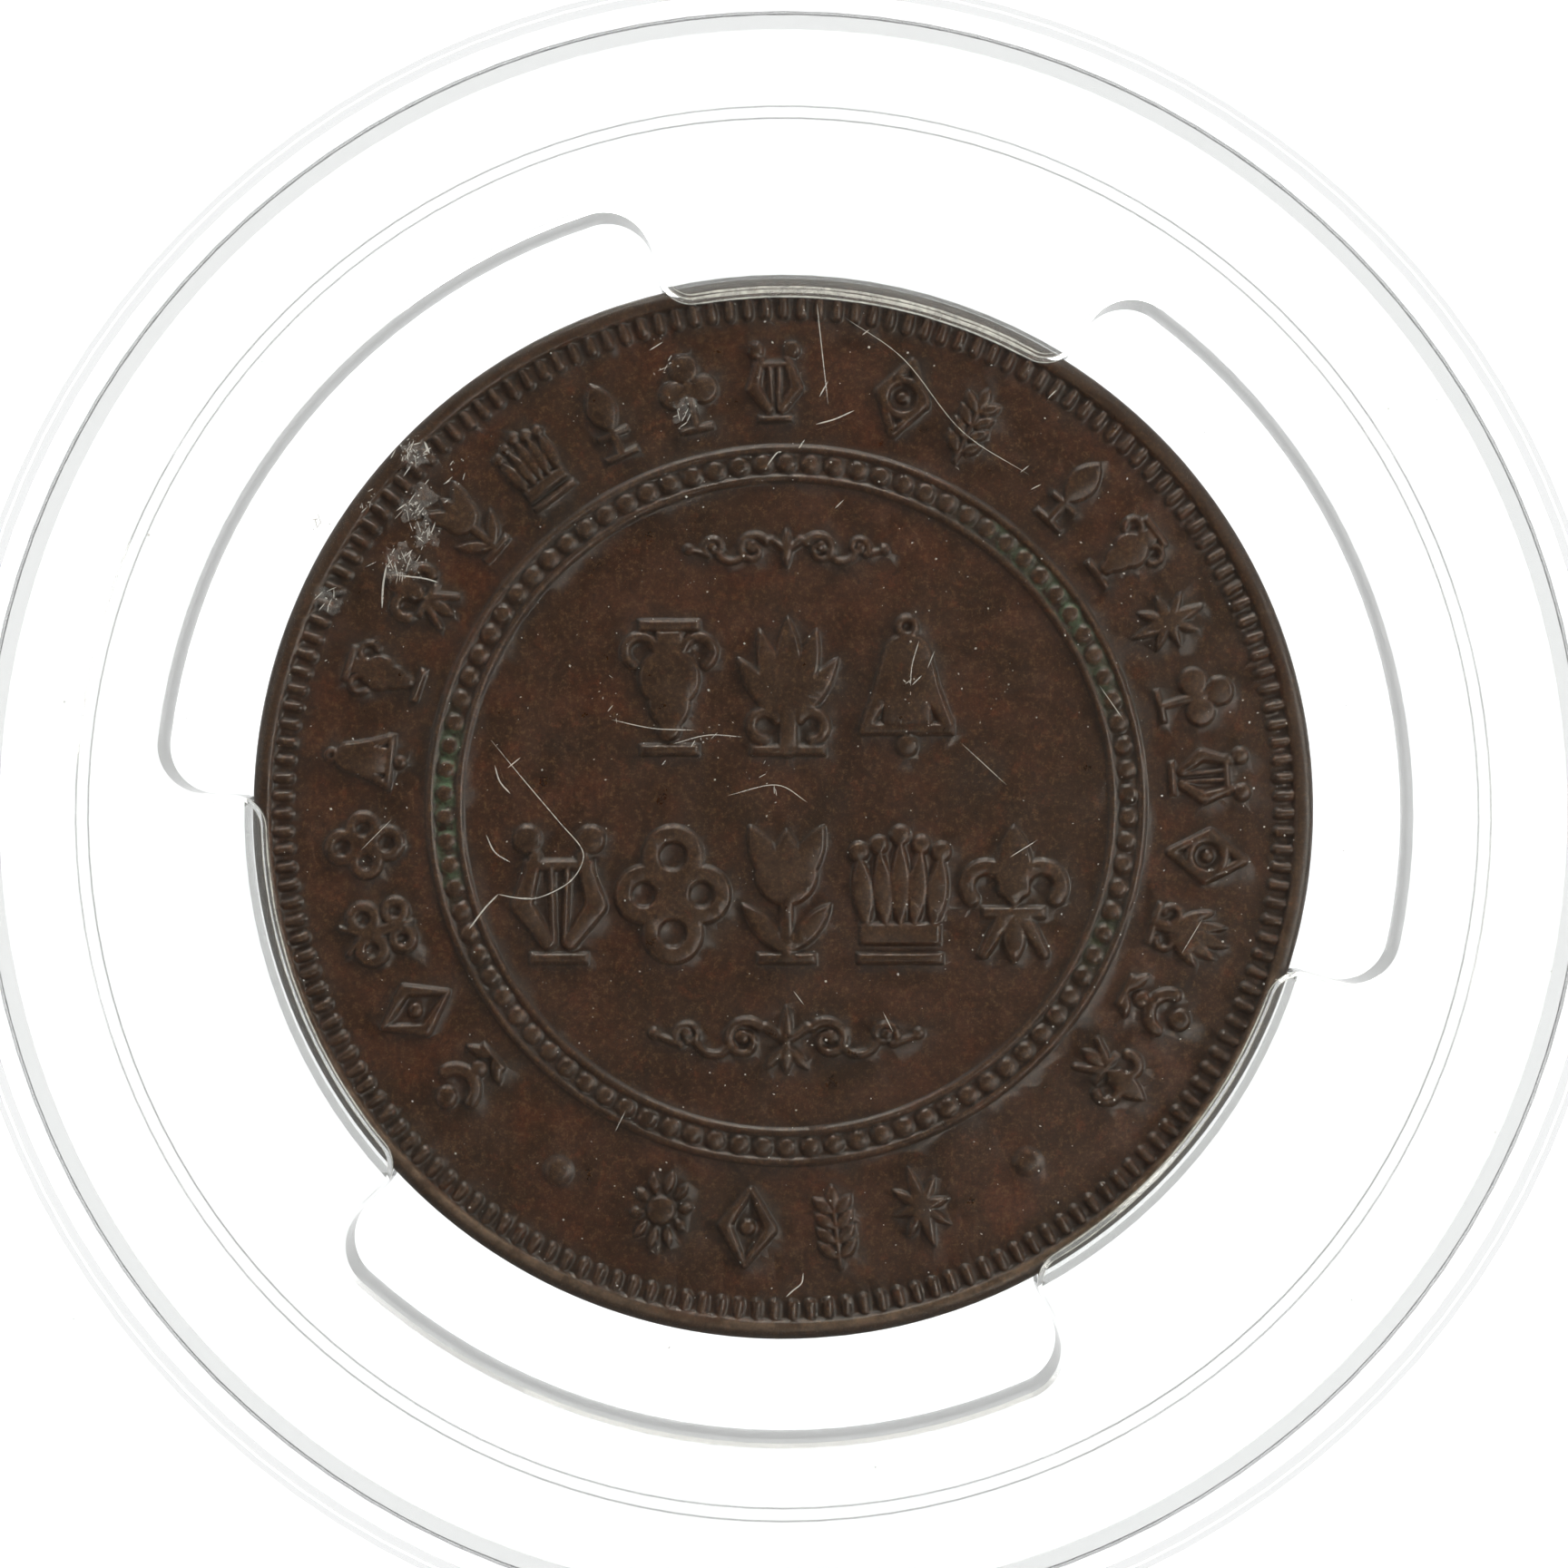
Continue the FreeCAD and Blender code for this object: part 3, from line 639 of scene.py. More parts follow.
def bronze_material():
    """Old bronze: a red-brown mottled field, worn olive tops, green deposits, dark patina with painted
    shade by the feet of edges and on the rim's outer rounding, and a painted highlight on the lower rim.
    """
    material, tree, place = new_tree("old_bronze")
    raised, patina_and_shade, green, painted_rim_highlight = (attribute(tree, name)
                                   for name in ("raised", "patina_and_shade", "green", "painted_rim_highlight"))
    broad = noise(tree, place, 6.0, 3)
    mottle = noise(tree, place, 0.9, 6, 0.65)
    grain = noise(tree, place, 0.13, 3, 0.8)
    field = mix(tree, spread(tree, mottle, 0.36, 0.64), colour(43, 26, 15), colour(63, 36, 21))
    field = mix(tree, spread(tree, broad, 0.4, 0.62, 0.0, 0.6), field, colour(45, 31, 19))
    blotch = noise(tree, place, 2.6, 5, 0.7)
    field = mix(tree, spread(tree, blotch, 0.52, 0.68, 0.0, 0.65), field, colour(73, 37, 20))
    field = mix(tree, spread(tree, blotch, 0.46, 0.34, 0.0, 0.7), field, colour(36, 25, 16))
    tops = mix(tree, spread(tree, mottle, 0.38, 0.66), colour(47, 33, 23), colour(60, 43, 30))
    skin = mix(tree, spread(tree, raised, 0.35, 1.0, 0.0, 0.85), field, tops)
    rust = spread(tree, noise(tree, place, 0.5, 5, 0.8), 0.56, 0.68, 0.0, 0.5)
    skin = mix(tree, rust, skin, colour(92, 48, 28))
    skin = mix(tree, spread(tree, grain, 0.52, 0.72, 0.0, 0.75), skin, colour(94, 69, 48))
    skin = mix(tree, spread(tree, grain, 0.48, 0.3, 0.0, 0.8), skin, colour(26, 17, 12))
    # The dark tone by the feet of edges and on the rim's outer rounding: patina and painted shade.
    dark = mix(tree, spread(tree, grain, 0.3, 0.7), colour(17, 11, 6), colour(35, 24, 14))
    skin = mix(tree, times(tree, patina_and_shade, spread(tree, mottle, 0.25, 0.6, 0.7, 0.95)),
               skin, dark)
    specks = spread(tree, noise(tree, place, 0.28, 2), 0.68, 0.74)
    skin = mix(tree, times(tree, specks, 0.6), skin, colour(24, 19, 15))
    patches = spread(tree, noise(tree, place, 0.45, 5, 0.7), 0.42, 0.6)
    verdigris = times(tree, times(tree, green, patches),
                      spread(tree, patina_and_shade, 0.02, 0.3, 0.0, 1.0))
    skin = mix(tree, verdigris, skin, mix(tree, grain, colour(42, 62, 44), colour(92, 118, 86)))
    # Painted highlight in streaks along the lower rim's foot, in a pale tone.
    streaks = noise(tree, place, 0.5, 4, 0.7)
    rim_highlight_strength = times(tree, painted_rim_highlight, spread(tree, streaks, 0.4, 0.6, 0.2, 0.9))
    skin = mix(tree, rim_highlight_strength, skin, colour(146, 127, 108))
    shine = spread(tree, mottle, 0.3, 0.7, 0.27, 0.4)
    shine = plus(tree, shine, times(tree, patina_and_shade, 0.1))
    shine = plus(tree, shine, times(tree, verdigris, 0.35))
    rough = bump(tree, noise(tree, place, 0.16, 5, 0.75), 0.006)
    shader = put(tree, "BsdfPrincipled", {
        "Base Color": skin, "Roughness": shine, "Normal": rough, "Specular IOR Level": 0.5})
    return finish_material(material, tree, shader.outputs[0])


SHADE = (0.86, 0.87, 0.87, 1.0)      # what each surface of clear plastic passes of a lamp's light


def clear_material(name, tint, clarity, smooth, rubbed):
    """Clear moulded plastic. Lamps shine through it, so that what it holds is lit.

    clarity is the share of light that isn't scattered, and smooth and rubbed are the roughness of
    its clean and its handled places.
    """
    material, tree, place = new_tree(name)
    smears = noise(tree, place, 14.0, 5, 0.6)
    rubs = noise(tree, place, 3.0, 6, 0.7, stretch=(1.0, 1.0, 0.12))
    handled = times(tree, spread(tree, smears, 0.42, 0.62), spread(tree, rubs, 0.4, 0.7))
    roughness = spread(tree, handled, 0.0, 1.0, smooth, rubbed)
    plastic = put(tree, "BsdfPrincipled", {
        "Base Color": tint, "Roughness": roughness, "Transmission Weight": clarity, "IOR": 1.49,
    }).outputs[0]
    passing = put(tree, "BsdfTransparent", {"Color": SHADE}).outputs[0]
    shadow = put(tree, "LightPath").outputs["Is Shadow Ray"]
    shader = put(tree, "MixShader", {0: shadow, 1: plastic, 2: passing}).outputs[0]
    return finish_material(material, tree, shader)


def mark_material(name="pale_marks", lump_mm=0.5, faint=0.2, strong=0.75):
    """Scratched and dusty plastic, and the painted highlights on the prongs' edges: pale, and broken up
    where a mark is faint.
    """
    material, tree, place = new_tree(name)
    broken = spread(tree, noise(tree, place, lump_mm, 4, 0.7), 0.35, 0.65, faint, strong)
    tone = mix(tree, noise(tree, place, 1.5, 2), colour(190, 188, 182), colour(232, 232, 228))
    pale = put(tree, "BsdfDiffuse", {"Color": tone}).outputs[0]
    gone = put(tree, "BsdfTransparent").outputs[0]
    shader = put(tree, "MixShader", {0: broken, 1: gone, 2: pale}).outputs[0]
    return finish_material(material, tree, shader)


def card_material():
    """Smooth pale card with fine wavy security lines and a faint fibre."""
    material, tree, place = new_tree("printed_card")
    split = put(tree, "SeparateXYZ", {0: place}).outputs
    x_mm = maths(tree, "DIVIDE", split["X"], MM)
    z_mm = maths(tree, "DIVIDE", split["Z"], MM)
    lines = None
    for pitch, wave, lean in ((0.55, 1.4, 0.35), (0.55, 1.9, -0.35)):
        sway = maths(tree, "SINE", times(tree, x_mm, wave * 0.5))
        across = plus(tree, z_mm, times(tree, x_mm, lean))
        across = plus(tree, across, times(tree, sway, 0.8))
        crest = maths(tree, "SINE", times(tree, across, TURN / pitch))
        line = spread(tree, crest, 0.55, 0.85)
        lines = line if lines is None else maths(tree, "MAXIMUM", lines, line)
    fibre = noise(tree, place, 0.35, 5, 0.7, stretch=(1.0, 1.0, 0.5))
    paper = mix(tree, fibre, colour(214, 222, 226), colour(232, 236, 237))
    tone = mix(tree, times(tree, lines, 0.55), paper, colour(150, 180, 200))
    normal = bump(tree, fibre, 0.01)
    shader = put(tree, "BsdfPrincipled", {"Base Color": tone, "Roughness": 0.55, "Normal": normal})
    return finish_material(material, tree, shader.outputs[0])


def ink_material(name, light, dark):
    """Printer's ink, a little uneven where the card shows through."""
    material, tree, place = new_tree(name)
    uneven = noise(tree, place, 0.25, 5, 0.7)
    tone = mix(tree, spread(tree, uneven, 0.35, 0.65), dark, light)
    gloss = spread(tree, uneven, 0.3, 0.7, 0.3, 0.45)
    shader = put(tree, "BsdfPrincipled", {"Base Color": tone, "Roughness": gloss})
    return finish_material(material, tree, shader.outputs[0])


def foil_material(name, shift):
    """Embossed foil whose colour runs through the spectrum in soft bands."""
    material, tree, place = new_tree(name)
    split = put(tree, "SeparateXYZ", {0: place}).outputs
    x_mm = maths(tree, "DIVIDE", split["X"], MM)
    z_mm = maths(tree, "DIVIDE", split["Z"], MM)
    drift = times(tree, noise(tree, place, 5.0, 3), 0.5)
    run = plus(tree, times(tree, x_mm, 0.09), times(tree, z_mm, 0.06))
    hue = maths(tree, "FRACT", plus(tree, plus(tree, run, drift), shift))
    tone = put(tree, "CombineColor", {0: hue, 1: 0.38, 2: 0.86}, mode="HSV").outputs[0]
    grid = times(tree, maths(tree, "SINE", times(tree, x_mm, TURN / 0.4)),
                 maths(tree, "SINE", times(tree, z_mm, TURN / 0.4)))
    tone = mix(tree, spread(tree, grid, 0.1, 0.6, 0.0, 0.4), tone, colour(226, 232, 236))
    normal = bump(tree, grid, 0.004)
    shader = put(tree, "BsdfPrincipled", {"Base Color": tone, "Metallic": 1.0, "Roughness": 0.26,
                                          "Normal": normal})
    return finish_material(material, tree, shader.outputs[0])


def dress(piece, material):
    """Gives a piece this one material."""
    piece.data.materials.clear()
    piece.data.materials.append(material)


# ---------------- the pieces

coin = build_coin()
dress(coin, bronze_material())
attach(coin, "coin")
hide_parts("coin")

shell_plastic = clear_material("clear_acrylic", (0.985, 0.99, 0.99, 1.0), 1.0, 0.0, 0.05)
ring_plastic = clear_material("clear_ring", (0.96, 0.965, 0.965, 1.0), 0.97, 0.04, 0.07)
for node in ("front_shell", "rear_shell"):
    dress(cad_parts[node], shell_plastic)
dress(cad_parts["prong_ring"], ring_plastic)
dress(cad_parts["label_card"], card_material())
dress(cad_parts["hologram_seal"], foil_material("seal_foil", 0.0))


class Parts:
    """Closed bits of mesh gathered into one piece. Places are x, y, z in mm."""

    def __init__(self):
        self.points = []
        self.triangles = []
        self.count = 0

    def add(self, points, triangles):
        self.points.append(np.array(points, dtype=float))
        self.triangles.append(np.array(triangles) + self.count)
        self.count += len(points)

    def prism(self, outline, front, back):
        """A flat shape whose outline, seen from the front, goes round its own middle clockwise."""
        ring = np.array(outline, dtype=float)
        n = len(ring)
        middle = ring.mean(axis=0)
        points = [(x, front, z) for x, z in ring] + [(x, back, z) for x, z in ring]
        points += [(middle[0], front, middle[1]), (middle[0], back, middle[1])]
        triangles = []
        for i in range(n):
            j = (i + 1) % n
            triangles += [(2 * n, j, i), (2 * n + 1, n + i, n + j), (i, j, n + j), (i, n + j, n + i)]
        self.add(points, triangles)

    def band(self, outer, inner, front, back):
        """A flat closed band between two outlines that have as many points as each other."""
        n = len(outer)
        points = [(x, y, z) for y in (front, back) for ring in (outer, inner) for x, z in ring]
        triangles = []
        for i in range(n):
            j = (i + 1) % n
            for a, b, c, d in ((i, n + i, n + j, j), (2 * n + i, 2 * n + j, 3 * n + j, 3 * n + i),
                               (i, j, 2 * n + j, 2 * n + i), (n + i, 3 * n + i, 3 * n + j, n + j)):
                triangles += [(a, b, c), (a, c, d)]
        self.add(points, triangles)

    def hairline(self, path, width, face, depth=0.012):
        """A fine line on the plane y = face that is pointed at its ends."""
        path = np.array(path, dtype=float)
        n = len(path)
        along_path = np.gradient(path, axis=0)
        along_path /= np.linalg.norm(along_path, axis=1)[:, None]
        side = np.stack([-along_path[:, 1], along_path[:, 0]], axis=1)
        half = width / 2 * np.minimum(1, 0.15 + 6 * np.minimum(np.linspace(0, 1, n), np.linspace(1, 0, n)))
        points = []
        for (x, z), (side_x, side_z), reach in zip(path, side, half):
            points += [(x - side_x * reach, face, z - side_z * reach), (x, face - depth / 2, z),
                       (x + side_x * reach, face, z + side_z * reach), (x, face + depth / 2, z)]
        last = 4 * n - 4
        triangles = [(0, 1, 2), (0, 2, 3), (last, last + 2, last + 1), (last, last + 3, last + 2)]
        for i in range(0, last, 4):
            for k in range(4):
                m = (k + 1) % 4
                triangles += [(i + k, i + 4 + k, i + 4 + m), (i + k, i + 4 + m, i + m)]
        self.add(points, triangles)

    def speck(self, x, z, long, wide, turn, face, depth=0.012):
        """A grain of dust on the plane y = face."""
        run, rise = cos(turn), sin(turn)
        points = [(x + a * run - b * rise, y, z + a * rise + b * run) for a, y, b in (
            (long, face, 0), (0, face, wide), (-long, face, 0), (0, face, -wide),
            (0, face - depth / 2, 0), (0, face + depth / 2, 0))]
        triangles = []
        for i in range(4):
            j = (i + 1) % 4
            triangles += [(i, 4, j), (j, 5, i)]
        self.add(points, triangles)

    def piece(self, name, material, slot, body="holder"):
        points = np.concatenate(self.points) * MM
        made = mesh_from(name, points, np.concatenate(self.triangles), smooth=False)
        dress(made, material)
        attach(made, body)


def rounded(x0, z0, x1, z1, corner):
    """A rectangle with round corners, clockwise as seen from the front."""
    corners = ((x1 - corner, z1 - corner, 90), (x1 - corner, z0 + corner, 0),
               (x0 + corner, z0 + corner, -90), (x0 + corner, z1 - corner, -180))
    return [(x + corner * cos(radians(start - step * 18)),
             z + corner * sin(radians(start - step * 18)))
            for x, z, start in corners for step in range(6)]


def petal(x, z, turn, near, far, half_width):
    """A pointed petal that starts near mm from x, z and ends far mm from it."""
    places = []
    for side, parts in ((1, np.linspace(0, 1, 9)), (-1, np.linspace(1, 0, 9)[1:-1])):
        for part in parts:
            out = near + (far - near) * part
            off = side * half_width * sin(pi * part)
            places.append((x + out * sin(turn) - off * cos(turn),
                           z + out * cos(turn) + off * sin(turn)))
    return places


def round_outline(x, z, radius, count=40):
    return [(x + radius * sin(turn), z + radius * cos(turn))
            for turn in np.arange(count) * TURN / count]


# ---- print on the card: rules and rosettes, where a real one would have its text

card_low, card_high = box_in_mm("label_card")
INK = 0.015
ink_front, ink_back = card_low.y - INK, card_low.y + INK

# The dark rules: z from the card's middle, first and last x, and height, in mm.
RULES = [
    (5.0, -13.0, 6.5, 1.5), (2.0, -13.0, 11.6, 1.5), (-0.7, -13.0, -1.0, 0.9),
    (-0.7, 0.0, 10.0, 0.9), (-4.9, -13.0, -6.5, 1.1), (-4.9, -5.3, 2.0, 1.1),
]


def print_card():
    """Dark and blue ink on the card's front: a border, a rosette at each end, and rules between."""
    dark, blue = Parts(), Parts()
    left, right, low, high = card_low.x, card_high.x, card_low.z, card_high.z
    for inset, width in ((0.7, 0.35), (1.35, 0.12)):
        blue.band(rounded(left + inset, low + inset, right - inset, high - inset, 1.2),
                  rounded(left + inset + width, low + inset + width, right - inset - width,
                          high - inset - width, 1.2 - width), ink_front, ink_back)
    middle = (low + high) / 2
    for side in (-1, 1):
        x = side * (right - 8.2)
        blue.band(round_outline(x, middle, 5.6), round_outline(x, middle, 5.3), ink_front, ink_back)
        blue.band(round_outline(x, middle, 2.0), round_outline(x, middle, 1.8), ink_front, ink_back)
        for index in range(24):
            turn = index * TURN / 24
            blue.prism(petal(x, middle, turn, 2.3, 5.0 if index % 2 else 4.3, 0.24), ink_front, ink_back)
        for index in range(8):
            dark.prism(petal(x, middle, index * TURN / 8, 0.25, 1.6, 0.26), ink_front, ink_back)
    for z, start, end, height in RULES:
        dark.prism(rounded(start, middle + z - height / 2, end, middle + z + height / 2, 0.2),
                   ink_front, ink_back)
    for index in range(29):
        x = -12.6 + index * 0.85
        blue.prism(petal(x, middle - 2.7, 0, -0.42, 0.42, 0.22), ink_front, ink_back)
    dark_ink = ink_material("dark_ink", colour(40, 46, 58), colour(24, 28, 38))
    blue_ink = ink_material("blue_ink", colour(44, 92, 142), colour(28, 66, 112))
    dark.piece("card_ink_dark", dark_ink, "printed_card")
    blue.piece("card_ink_blue", blue_ink, "printed_card")


def emboss_seal():
    """A raised sunburst and a rim on the foil seal, on the card's back."""
    low, high = box_in_mm("hologram_seal")
    x, z = (low.x + high.x) / 2, (low.z + high.z) / 2
    front, back = high.y - 0.02, high.y + 0.03
    raised = Parts()
    raised.band(rounded(low.x + 0.4, low.z + 0.4, high.x - 0.4, high.z - 0.4, 0.8),
                rounded(low.x + 0.65, low.z + 0.65, high.x - 0.65, high.z - 0.65, 0.6), front, back)
    raised.band(round_outline(x, z, 3.5), round_outline(x, z, 3.3), front, back)
    for index in range(20):
        raised.prism(petal(x, z, index * TURN / 20, 1.2, 3.1 if index % 2 else 2.6, 0.2), front, back)
    raised.prism(round_outline(x, z, 0.9), front, back)
    for side in (-1, 1):
        for step in range(5):
            raised.prism(petal(x + side * 5.1, z - 2.4 + step * 1.2, 0, -0.5, 0.5, 0.3), front, back)
    raised.piece("seal_emboss", foil_material("raised_foil", 0.37), "seal_foil")


# ---- wear on the front window, where it shows against the coin

WINDOW_RECESS = 1.0
window_face = box_of("front_shell")[0].y / MM + WINDOW_RECESS
VIEW_WIDTH = 45.64
VIEW_SIDE = 0.02         # the camera's place, in mm from the coin's middle
VIEW_LIFT = 0.73
LENS = 100
SENSOR = 36
VIEW_DISTANCE = VIEW_WIDTH * LENS / SENSOR


def on_window(u, v):
    """The window's x and z that lie over the coin's u, v as the camera looks at it."""
    nearer = 1 - (coin_low.y / MM - window_face) / VIEW_DISTANCE
    return (coin_middle.x / MM + VIEW_SIDE + (u - VIEW_SIDE) * nearer,
            coin_middle.z / MM + VIEW_LIFT + (v - VIEW_LIFT) * nearer)


def smooth_path(corners, steps=8):
    """A curve through the corners."""
    corners = np.array(corners, dtype=float)
    if len(corners) == 2:
        return corners[0] + np.linspace(0, 1, 5)[:, None] * (corners[1] - corners[0])
    padded = np.concatenate([[2 * corners[0] - corners[1]], corners, [2 * corners[-1] - corners[-2]]])
    places = []
    for a, b, c, d in zip(padded, padded[1:], padded[2:], padded[3:]):
        for t in np.linspace(0, 1, steps, endpoint=False):
            places.append(0.5 * (2 * b + (c - a) * t + (2 * a - 5 * b + 4 * c - d) * t ** 2
                                 + (3 * b - a - 3 * c + d) * t ** 3))
    return np.array(places + [corners[-1]])


# Each scratch: its width, then its corners as u, v over the coin.
SCRATCHES = [
    (0.035, (0.98, 14.7), (1.12, 13.4), (1.3, 11.8)),
    (0.025, (1.8, 14.3), (3.5, 13.1), (5.2, 11.0), (7.2, 9.7)),
    (0.035, (-8.5, 2.0), (-7.6, 0.9), (-6.5, -0.4), (-5.9, -1.1), (-5.85, -1.55), (-6.2, -2.1),
     (-6.9, -2.5), (-7.5, -2.62), (-8.3, -2.48)),
    (0.05, (-8.4, 1.27), (-8.25, 0.8), (-7.95, 0.45)),
    (0.04, (-8.02, 1.2), (-7.65, 1.5)),
    (0.05, (-8.65, -0.75), (-8.4, -1.25), (-7.95, -1.55)),
    (0.06, (-9.15, -3.5), (-8.7, -2.9), (-8.3, -2.48)),
    (0.04, (-8.3, -2.48), (-7.8, -2.58), (-7.3, -2.6)),
    (0.05, (0.58, -13.5), (0.53, -13.8), (0.3, -14.0), (0.08, -14.2)),
    (0.05, (0.95, 11.2), (1.5, 11.35), (2.06, 11.6)),
    (0.05, (0.45, 10.5), (0.62, 10.75)), (0.05, (-0.47, 10.0), (-0.2, 10.35), (-0.05, 10.4)),
    (0.04, (1.76, 9.0), (1.5, 8.75)), (0.04, (6.9, 9.8), (7.15, 10.0)), (0.04, (7.2, 9.3), (7.5, 9.45)),
    (0.04, (2.3, 13.8), (2.5, 13.95)), (0.05, (1.05, 12.0), (1.3, 12.45)),
    (0.04, (-3.9, 13.35), (-3.5, 13.6)),
    (0.04, (7.7, 11.95), (7.95, 12.2)), (0.08, (-10.45, 10.7), (-10.3, 10.35)),
    (0.07, (-11.55, 7.1), (-11.65, 6.5), (-11.68, 5.85)),
    (0.05, (-11.2, 6.8), (-10.5, 6.72), (-10.05, 6.6)),
    (0.03, (-5.0, 2.6), (-3.8, 2.35), (-2.6, 2.3)), (0.03, (-3.2, 1.9), (-2.2, 2.15), (-1.2, 2.1)),
    (0.035, (3.95, 4.9), (3.75, 4.2), (3.7, 3.6)), (0.03, (4.4, 4.6), (4.2, 4.1)),
    (0.03, (-1.6, 0.4), (-0.2, 0.7), (0.7, 0.2)), (0.025, (5.2, 1.9), (6.5, 0.7)),
    (0.03, (7.4, -0.9), (6.6, -1.4)), (0.025, (9.2, 3.6), (9.9, 2.6)),
    (0.025, (-12.3, -1.2), (-11.4, -0.3)), (0.025, (11.6, -4.2), (12.2, -3.2)),
    (0.03, (2.9, -5.9), (3.2, -6.5)), (0.03, (0.3, -5.3), (0.6, -5.7)), (0.03, (-4.9, -9.4), (-4.6, -8.8)),
]

HAZY_COUNT = 16          # a patch of this many marks or more is hazy too

# Rubbed patches: u, v, how far each spreads in mm, and how many marks are in it.
SCUFFS = [
    (-10.75, 10.35, 0.42, 56), (-10.7, 8.85, 0.5, 40), (-10.45, 8.0, 0.42, 34), (-11.2, 7.2, 0.55, 54),
    (-12.2, 8.9, 0.3, 12), (-13.2, 6.1, 0.4, 18), (-13.6, 8.3, 0.25, 10), (-9.6, 9.9, 0.5, 12),
    (-2.9, 11.6, 0.4, 16), (-3.4, 12.9, 0.3, 10), (3.6, 3.5, 0.6, 10), (-2.4, 2.0, 0.7, 10),
    (-0.3, 0.8, 0.8, 12), (-4.9, 2.9, 0.6, 9),
]


def wear_window():
    """Scratches, rubbed and hazy patches, and dust on the window's outer face."""
    marks = Parts()
    for width, *corners in SCRATCHES:
        marks.hairline([on_window(u, v) for u, v in smooth_path(corners)], 0.75 * width, window_face)
    dice = np.random.default_rng(30)
    for u, v, reach, count in SCUFFS:
        for index in range(count):
            u0, v0 = np.array([u, v]) + dice.normal(0, reach * 0.55, 2)
            if index % 3:
                x, z = on_window(u0, v0)
                long = dice.uniform(0.01, 0.04)
                marks.speck(x, z, long, long * dice.uniform(0.3, 0.8), dice.uniform(0, TURN), window_face)
            else:
                lean, half = dice.normal(0.4, 0.5), dice.uniform(0.04, 0.2)
                step_u, step_v = half * sin(lean), half * cos(lean)
                ends = [on_window(u0 - step_u, v0 - step_v), on_window(u0 + step_u, v0 + step_v)]
                marks.hairline(smooth_path(ends), dice.uniform(0.015, 0.03), window_face)
    marks.piece("window_scratches", mark_material(), "clear_shell")
    dust = Parts()
    for count, spread_mm in ((520, 14.9), (70, 26.0)):
        for _ in range(count):
            turn = dice.uniform(0, TURN)
            reach = spread_mm * sqrt(dice.uniform(0, 1))
            x, z = on_window(reach * cos(turn), reach * sin(turn))
            long = 0.018 + 0.03 * dice.uniform(0, 1) ** 3
            dust.speck(x, z, long, long * dice.uniform(0.45, 1), dice.uniform(0, TURN), window_face)
    dust.piece("window_dust", mark_material(), "clear_shell")
    haze = Parts()
    for u, v, reach, count in SCUFFS:
        if count < HAZY_COUNT:
            continue
        reaches = reach * (0.7 + np.convolve(dice.uniform(-0.5, 0.9, 36), np.ones(3) / 3, mode="same"))
        haze.prism([on_window(u + out * sin(turn), v + out * cos(turn))
                    for out, turn in zip(reaches, np.arange(36) * TURN / 36)],
                   window_face - 0.003, window_face + 0.003)
    haze.piece("window_haze", mark_material("hazy_marks", 0.22, 0.0, 0.045), "clear_shell")


# ---- painted highlights on the prongs: pale lines along their rounded edges where they lie over the coin

WEB_SET_BACK = 0.3
PRONG_HALF_ANGLE = 22.6
PRONG_TURN = -9.4
PRONG_COUNT = 3
LIP_RADIUS = 14.95
LIP_BEVEL = 0.12
LIP_HIGHLIGHTS = (                                       # each painted highlight line's offset from the lip, and width
    ((0.0, 0.055), (0.14, 0.1), (0.25, 0.07)),     # top prong
    ((0.0, 0.055), (LIP_BEVEL, 0.035)),            # lower right
    ((0.0, 0.055), (LIP_BEVEL, 0.025)),            # left
)
LIP_CORNER = 1.0


def lip_path(offset):
    """A prong's edge as radius and angle from its middle, offset mm outside the lip's own."""
    centre_radius = LIP_RADIUS + LIP_CORNER
    corner_angle = radians(PRONG_HALF_ANGLE) - asin(LIP_CORNER / centre_radius)
    corner = LIP_CORNER - offset
    places = [((LIP_RADIUS + offset) * sin(turn), (LIP_RADIUS + offset) * cos(turn))
              for turn in np.linspace(0, corner_angle, 60)]
    x0, z0 = centre_radius * sin(corner_angle), centre_radius * cos(corner_angle)
    for turn in np.linspace(0, 62, 14)[1:]:
        bend = corner_angle + pi - radians(turn)
        places.append((x0 + corner * sin(bend), z0 + corner * cos(bend)))
    return [(-x, z) for x, z in places[:0:-1]] + places


def paint_lip_highlights():
    """Painted highlights: pale lines along each lip's edge, broken here and there."""
    dice = np.random.default_rng(7)
    highlight_lines = Parts()
    ring_low, ring_high = box_in_mm("prong_ring")
    x_mid, z_mid = (ring_low.x + ring_high.x) / 2, (ring_low.z + ring_high.z) / 2
    web_front = ring_low.y + WEB_SET_BACK
    for index in range(PRONG_COUNT):
        turn = radians(-PRONG_TURN + index * 360 / PRONG_COUNT)
        for offset, width in LIP_HIGHLIGHTS[index]:
            face = web_front if offset else web_front + LIP_BEVEL
            path = np.array(lip_path(offset))
            sway = np.convolve(dice.normal(0, 1, len(path)), np.ones(9) / 9, mode="same")
            path *= 1 + 0.012 * sway[:, None] / LIP_RADIUS
            spun = np.stack([path[:, 0] * cos(turn) + path[:, 1] * sin(turn),
                             path[:, 1] * cos(turn) - path[:, 0] * sin(turn)], axis=1)
            highlight_lines.hairline(spun + (x_mid, z_mid), width, face, 0.02)
    highlight_lines.piece("lip_highlight_lines", mark_material(), "clear_ring", body="ring")


print_card()
emboss_seal()
paint_lip_highlights()
wear_window()


# ---------------- stage, lights and camera

BACKDROP = 1.35          # brighter than white, so that clear plastic before it still looks white
BOUNCED = 0.8            # the backdrop's share that lights things, or shows in their edges
BACKDROP_EDGE = (-0.25, 0.2)  # the share of +Y in a direction where the backdrop starts and is full
ROOM = 0.02              # the room before the slab is dim
AIM = (0, 0, 0.034)      # the lamps point at the middle of the coin
WARM = (1.0, 0.95, 0.85)  # the tint of the lamps in front


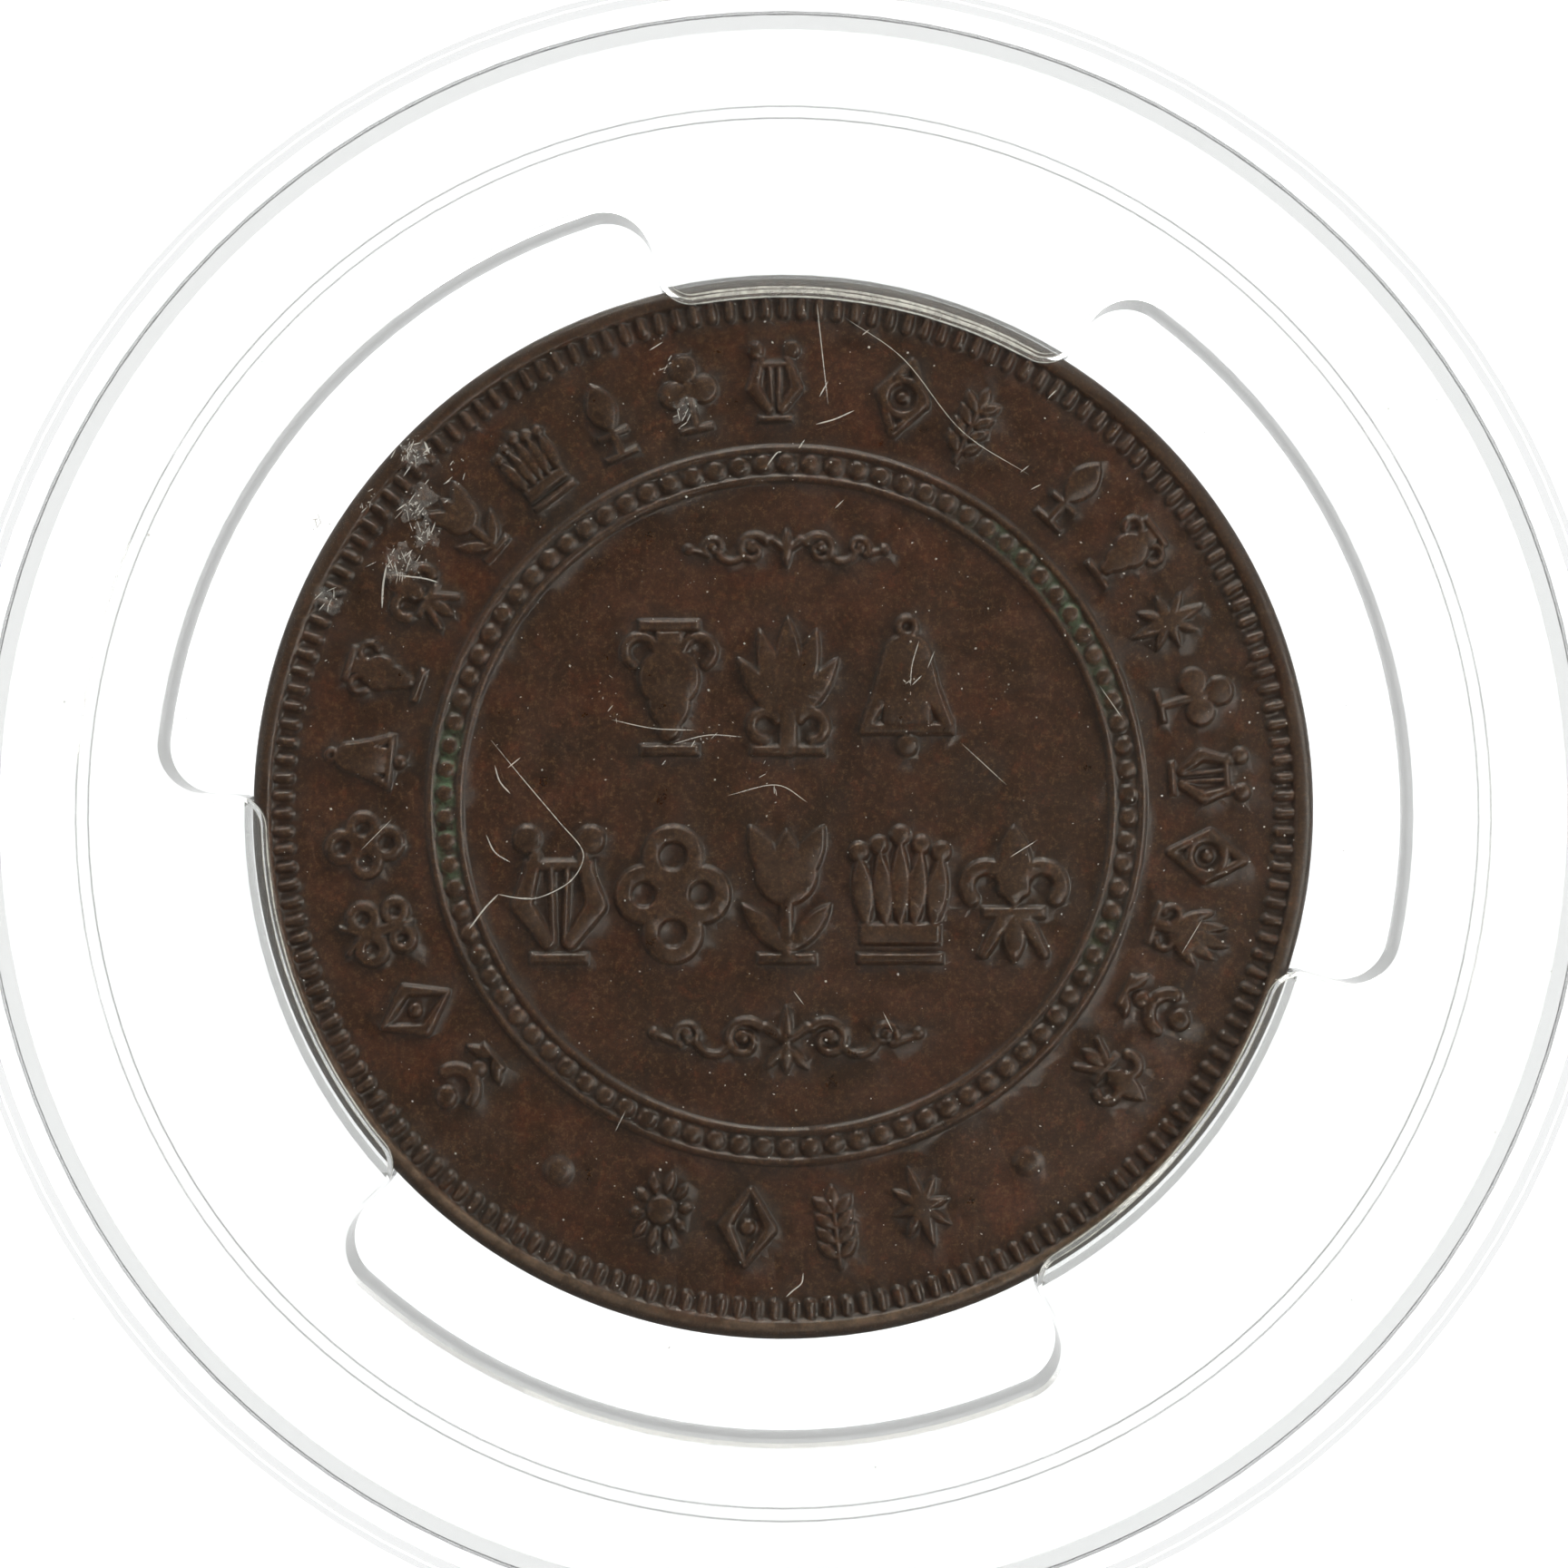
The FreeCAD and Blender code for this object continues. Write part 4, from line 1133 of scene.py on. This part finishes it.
def area_light(name, place, width, height, power, tint=(1.0, 1.0, 1.0)):
    """A rectangular lamp that points at AIM. Its power is in watts."""
    light = bpy.data.lights.new(name, "AREA")
    light.shape = "RECTANGLE"
    light.size = width
    light.size_y = height
    light.energy = power
    light.color = tint
    lamp = bpy.data.objects.new(name, light)
    lamp.location = place
    lamp.rotation_euler = (Vector(AIM) - Vector(place)).to_track_quat("-Z", "Y").to_euler()
    bpy.context.scene.collection.objects.link(lamp)


def seen_straight(tree):
    """1 where a ray has only come through clear plastic, and 0 once it has bounced."""
    path = put(tree, "LightPath").outputs
    bounces = plus(tree, path["Diffuse Depth"], path["Glossy Depth"])
    return maths(tree, "LESS_THAN", bounces, 0.5)


def white_world():
    """A bright backdrop behind the slab and a dim room before it, white wherever it is looked at."""
    world = bpy.data.worlds.new("studio")
    world.use_nodes = True
    tree = world.node_tree
    tree.nodes.clear()
    looked_at = seen_straight(tree)
    direction = put(tree, "SeparateXYZ", {0: put(tree, "TexCoord").outputs["Generated"]})
    backdrop = spread(tree, direction.outputs["Y"], *BACKDROP_EDGE, 0.0, BOUNCED)
    seen = maths(tree, "MAXIMUM", looked_at, backdrop)
    shown = put(tree, "Background", {"Color": (1, 1, 1, 1), "Strength": BACKDROP}).outputs[0]
    room = put(tree, "Background", {"Color": (1, 1, 1, 1), "Strength": ROOM}).outputs[0]
    both = put(tree, "MixShader", {0: seen, 1: room, 2: shown}).outputs[0]
    out = put(tree, "OutputWorld")
    tree.links.new(both, out.inputs["Surface"])
    bpy.context.scene.world = world


def pale_floor():
    """A round floor that fades out into the white round it."""
    rim, sides = 0.07, 96    # its radius, and how many sides stand in for a circle
    points = [(0, 0, 0)] + [(rim * cos(turn), rim * sin(turn), 0)
                            for turn in np.arange(sides) * TURN / sides]
    triangles = [(0, 1 + i, 1 + (i + 1) % sides) for i in range(sides)]
    floor = mesh_from("floor", np.array(points), np.array(triangles))
    floor.location.z = -0.0001
    material, tree, place = new_tree("pale_floor")
    away = put(tree, "VectorMath", {0: place}, operation="LENGTH").outputs["Value"]
    tone = mix(tree, seen_straight(tree), (0.12, 0.12, 0.12, 1), (0.5, 0.5, 0.5, 1))
    paint = put(tree, "BsdfDiffuse", {"Color": tone}).outputs[0]
    gone = put(tree, "BsdfTransparent").outputs[0]
    fade = spread(tree, away, 0.04, 0.066)
    shader = put(tree, "MixShader", {0: fade, 1: paint, 2: gone}).outputs[0]
    dress(floor, finish_material(material, tree, shader))


def photo_camera():
    """Square on to the coin, level, with the whole coin in view and a little more room above."""
    camera = bpy.data.cameras.new("camera")
    camera.lens = LENS
    camera.sensor_width = SENSOR
    camera.clip_start = 0.01
    seen = bpy.data.objects.new("camera", camera)
    seen.location = (coin_middle.x + VIEW_SIDE * MM, coin_low.y - VIEW_DISTANCE * MM,
                     coin_middle.z + VIEW_LIFT * MM)
    seen.rotation_euler = (radians(90), 0, 0)
    bpy.context.scene.collection.objects.link(seen)
    bpy.context.scene.camera = seen


white_world()
pale_floor()
photo_camera()
scene = bpy.context.scene
scene.view_settings.view_transform = "Standard"
area_light("top_softbox", (0.0, -0.085, 0.36), 0.3, 0.16, 1.4, WARM)
area_light("left_fill", (-0.3, -0.2, 0.1), 0.2, 0.2, 0.15, WARM)
area_light("right_fill", (0.28, -0.2, 0.03), 0.2, 0.2, 0.6, WARM)
area_light("low_sheen", (0.12, -0.31, -0.09), 0.06, 0.06, 0.15, WARM)
area_light("back_softbox", (0.0, 0.35, 0.25), 0.3, 0.2, 0.8)
